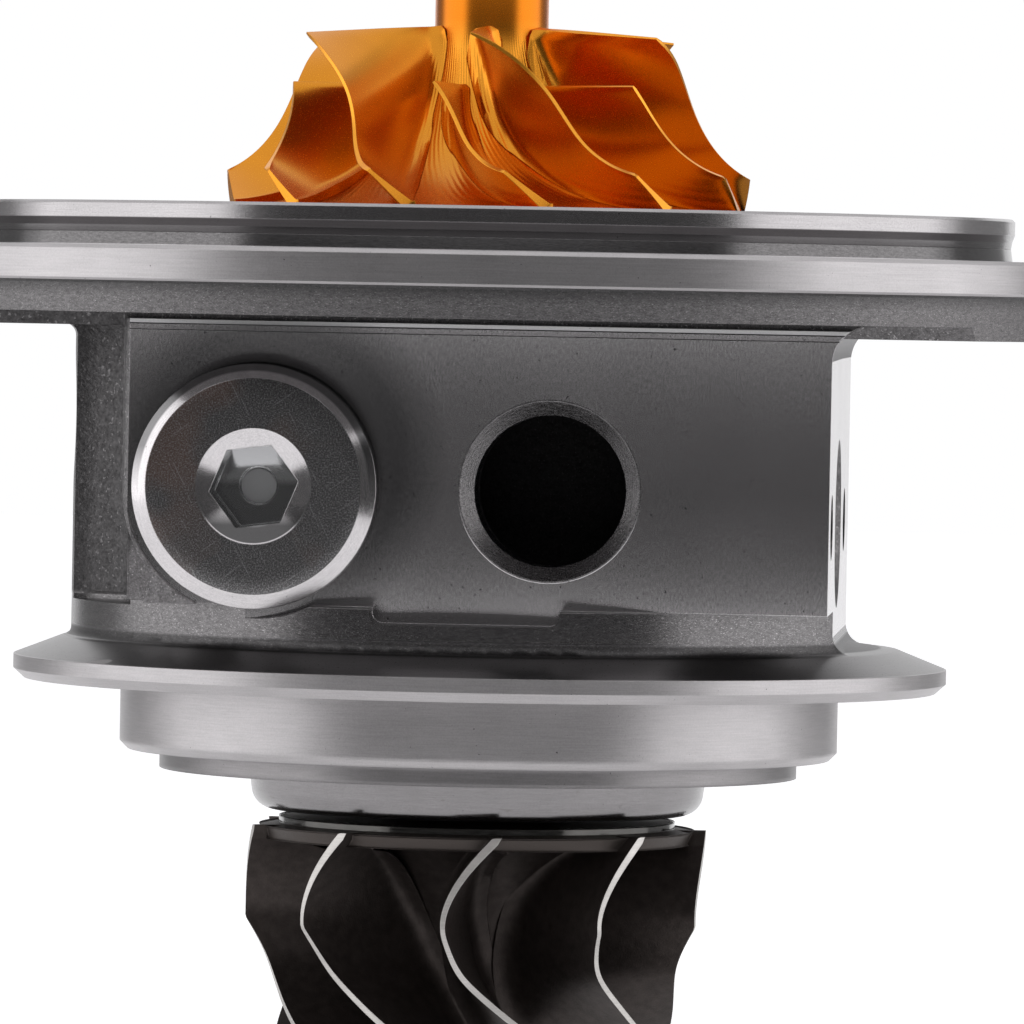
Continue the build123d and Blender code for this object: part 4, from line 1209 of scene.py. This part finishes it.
def make_floor():
    """Pale floor at the part's lowest point, lit up a little so that it stays even."""
    material, tree, shader = new_material("floor_pale")
    glow = times(tree, seen_directly(tree), 0.6)
    set_inputs(
        tree, shader, Base_Color=grey(0.8), Roughness=0.7, Emission_Color=grey(1.0), Emission_Strength=glow,
    )
    verts = [
        (-FLOOR_HALF, FLOOR_FRONT, FLOOR_Z), (FLOOR_HALF, FLOOR_FRONT, FLOOR_Z),
        (FLOOR_HALF, FLOOR_HALF, FLOOR_Z), (-FLOOR_HALF, FLOOR_HALF, FLOOR_Z),
    ]
    floor = mesh_piece("floor", verts, [(0, 1, 2, 3)], [material])


def make_card(name, start_deg, end_deg, radius, high, level):
    """Curved card on the floor round the object, seen only in reflections. Angles from the camera."""
    material, tree, shader = new_material(name)
    set_inputs(tree, shader, Base_Color=grey(0.0), Emission_Color=grey(1.0), Emission_Strength=level)
    steps = 16
    verts = []
    for k in range(steps + 1):
        degrees = start_deg + (end_deg - start_deg) * k / steps + CAMERA_AZIMUTH
        x = radius * math.sin(math.radians(degrees))
        y = -radius * math.cos(math.radians(degrees))
        verts += [(x, y, FLOOR_Z), (x, y, high)]
    faces = [(2 * k, 2 * k + 2, 2 * k + 3, 2 * k + 1) for k in range(steps)]
    card = mesh_piece(name, verts, faces, [material])
    for ray in ("camera", "diffuse", "shadow", "transmission"):
        setattr(card, f"visible_{ray}", False)


def area_light(name, azimuth, elevation, reach, width, height, radiance, glossy=True):
    """Soft box that faces the object. Azimuth from the camera, sizes in metres."""
    a = math.radians(azimuth + CAMERA_AZIMUTH)
    e = math.radians(elevation)
    direction = Vector((math.sin(a) * math.cos(e), -math.cos(a) * math.cos(e), math.sin(e)))
    data = bpy.data.lights.new(name, "AREA")
    data.shape = "RECTANGLE"
    data.size = width
    data.size_y = height
    data.energy = radiance * math.pi * width * height
    light = add_object(name, data)
    target = Vector((0, 0, LIGHT_TARGET_Z))
    light.location = target + direction * reach
    light.rotation_euler = (-direction).to_track_quat("-Z", "Y").to_euler()
    light.visible_camera = False
    light.visible_glossy = glossy


def make_world():
    """Even white surroundings, dimmer as a light than they look."""
    world = bpy.data.worlds.new("studio")
    bpy.context.scene.world = world
    world.use_nodes = True
    tree = world.node_tree
    tree.nodes.clear()
    level = mix_value(tree, seen_directly(tree), 0.45, 1.0)
    room = add_node(tree, "ShaderNodeBackground", Color=grey(1.0), Strength=level)
    add_node(tree, "ShaderNodeOutputWorld", Surface=room.outputs[0])


def make_stage():
    make_floor()
    make_world()
    make_card("card_front", start_deg=-50, end_deg=50, radius=300, high=125, level=0.042)
    make_card("card_side_left", start_deg=-150, end_deg=-116, radius=420, high=260, level=0.25)
    make_card("card_side_right", start_deg=116, end_deg=150, radius=420, high=260, level=0.25)
    side_box = {"elevation": 8, "reach": 0.7, "width": 0.75, "height": 0.8, "radiance": 0.8}
    area_light("softbox_left", azimuth=-84, **side_box)
    area_light("softbox_right", azimuth=84, **side_box)
    area_light(
        "fill_front", azimuth=0, elevation=30, reach=1.4, width=1.2, height=1.0, radiance=0.9, glossy=False,
    )


bpy.context.scene.view_settings.view_transform = "Standard"
make_camera()
make_stage()

steel_turned = plain_metal("steel_ground", (0.55, 0.55, 0.56), 0.28)
bronze = plain_metal("bearing_bronze", (0.62, 0.43, 0.22), 0.32)
make_compressor_wheel(anodised_orange(), anodised_edge())
make_turbine_wheel(
    turbine_alloy(),
    plain_metal("ground_tip", (0.52, 0.50, 0.48), 0.36),
    plain_metal("polished_rim", (0.09, 0.087, 0.083), 0.12, height_mm=0.0005),
)
spring = plain_metal("spring_steel", (0.22, 0.22, 0.23), 0.35)
iron_ring = plain_metal("ring_iron", (0.3, 0.3, 0.3), 0.35)
finishes = {
    "bearing_housing": housing_iron(),
    "compressor_backplate": backplate_steel(),
    "jacket_plug": plug_steel(),
    "jacket_plug_washer": plain_metal("washer_aluminium", (0.68, 0.68, 0.69), 0.35),
    "heat_shield": shield_steel(),
    "turbine_journal_bearing": bronze,
    "compressor_journal_bearing": bronze,
    "thrust_bearing": bronze,
    "oil_deflector": spring,
    "compressor_piston_ring": iron_ring,
    "turbine_piston_ring": iron_ring,
    "backplate_o_ring": seal_rubber(),
    "backplate_screws": plain_metal("screw_steel", (0.16, 0.16, 0.17), 0.35),
    "shaft_lock_nut": plain_metal("nut_steel", (0.42, 0.42, 0.43), 0.3),
}
for number in range(1, 5):
    finishes[f"bearing_retaining_ring_{number}"] = spring
for node_name, node_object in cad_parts.items():
    node_object.data.materials.clear()
    node_object.data.materials.append(finishes.get(node_name, steel_turned))
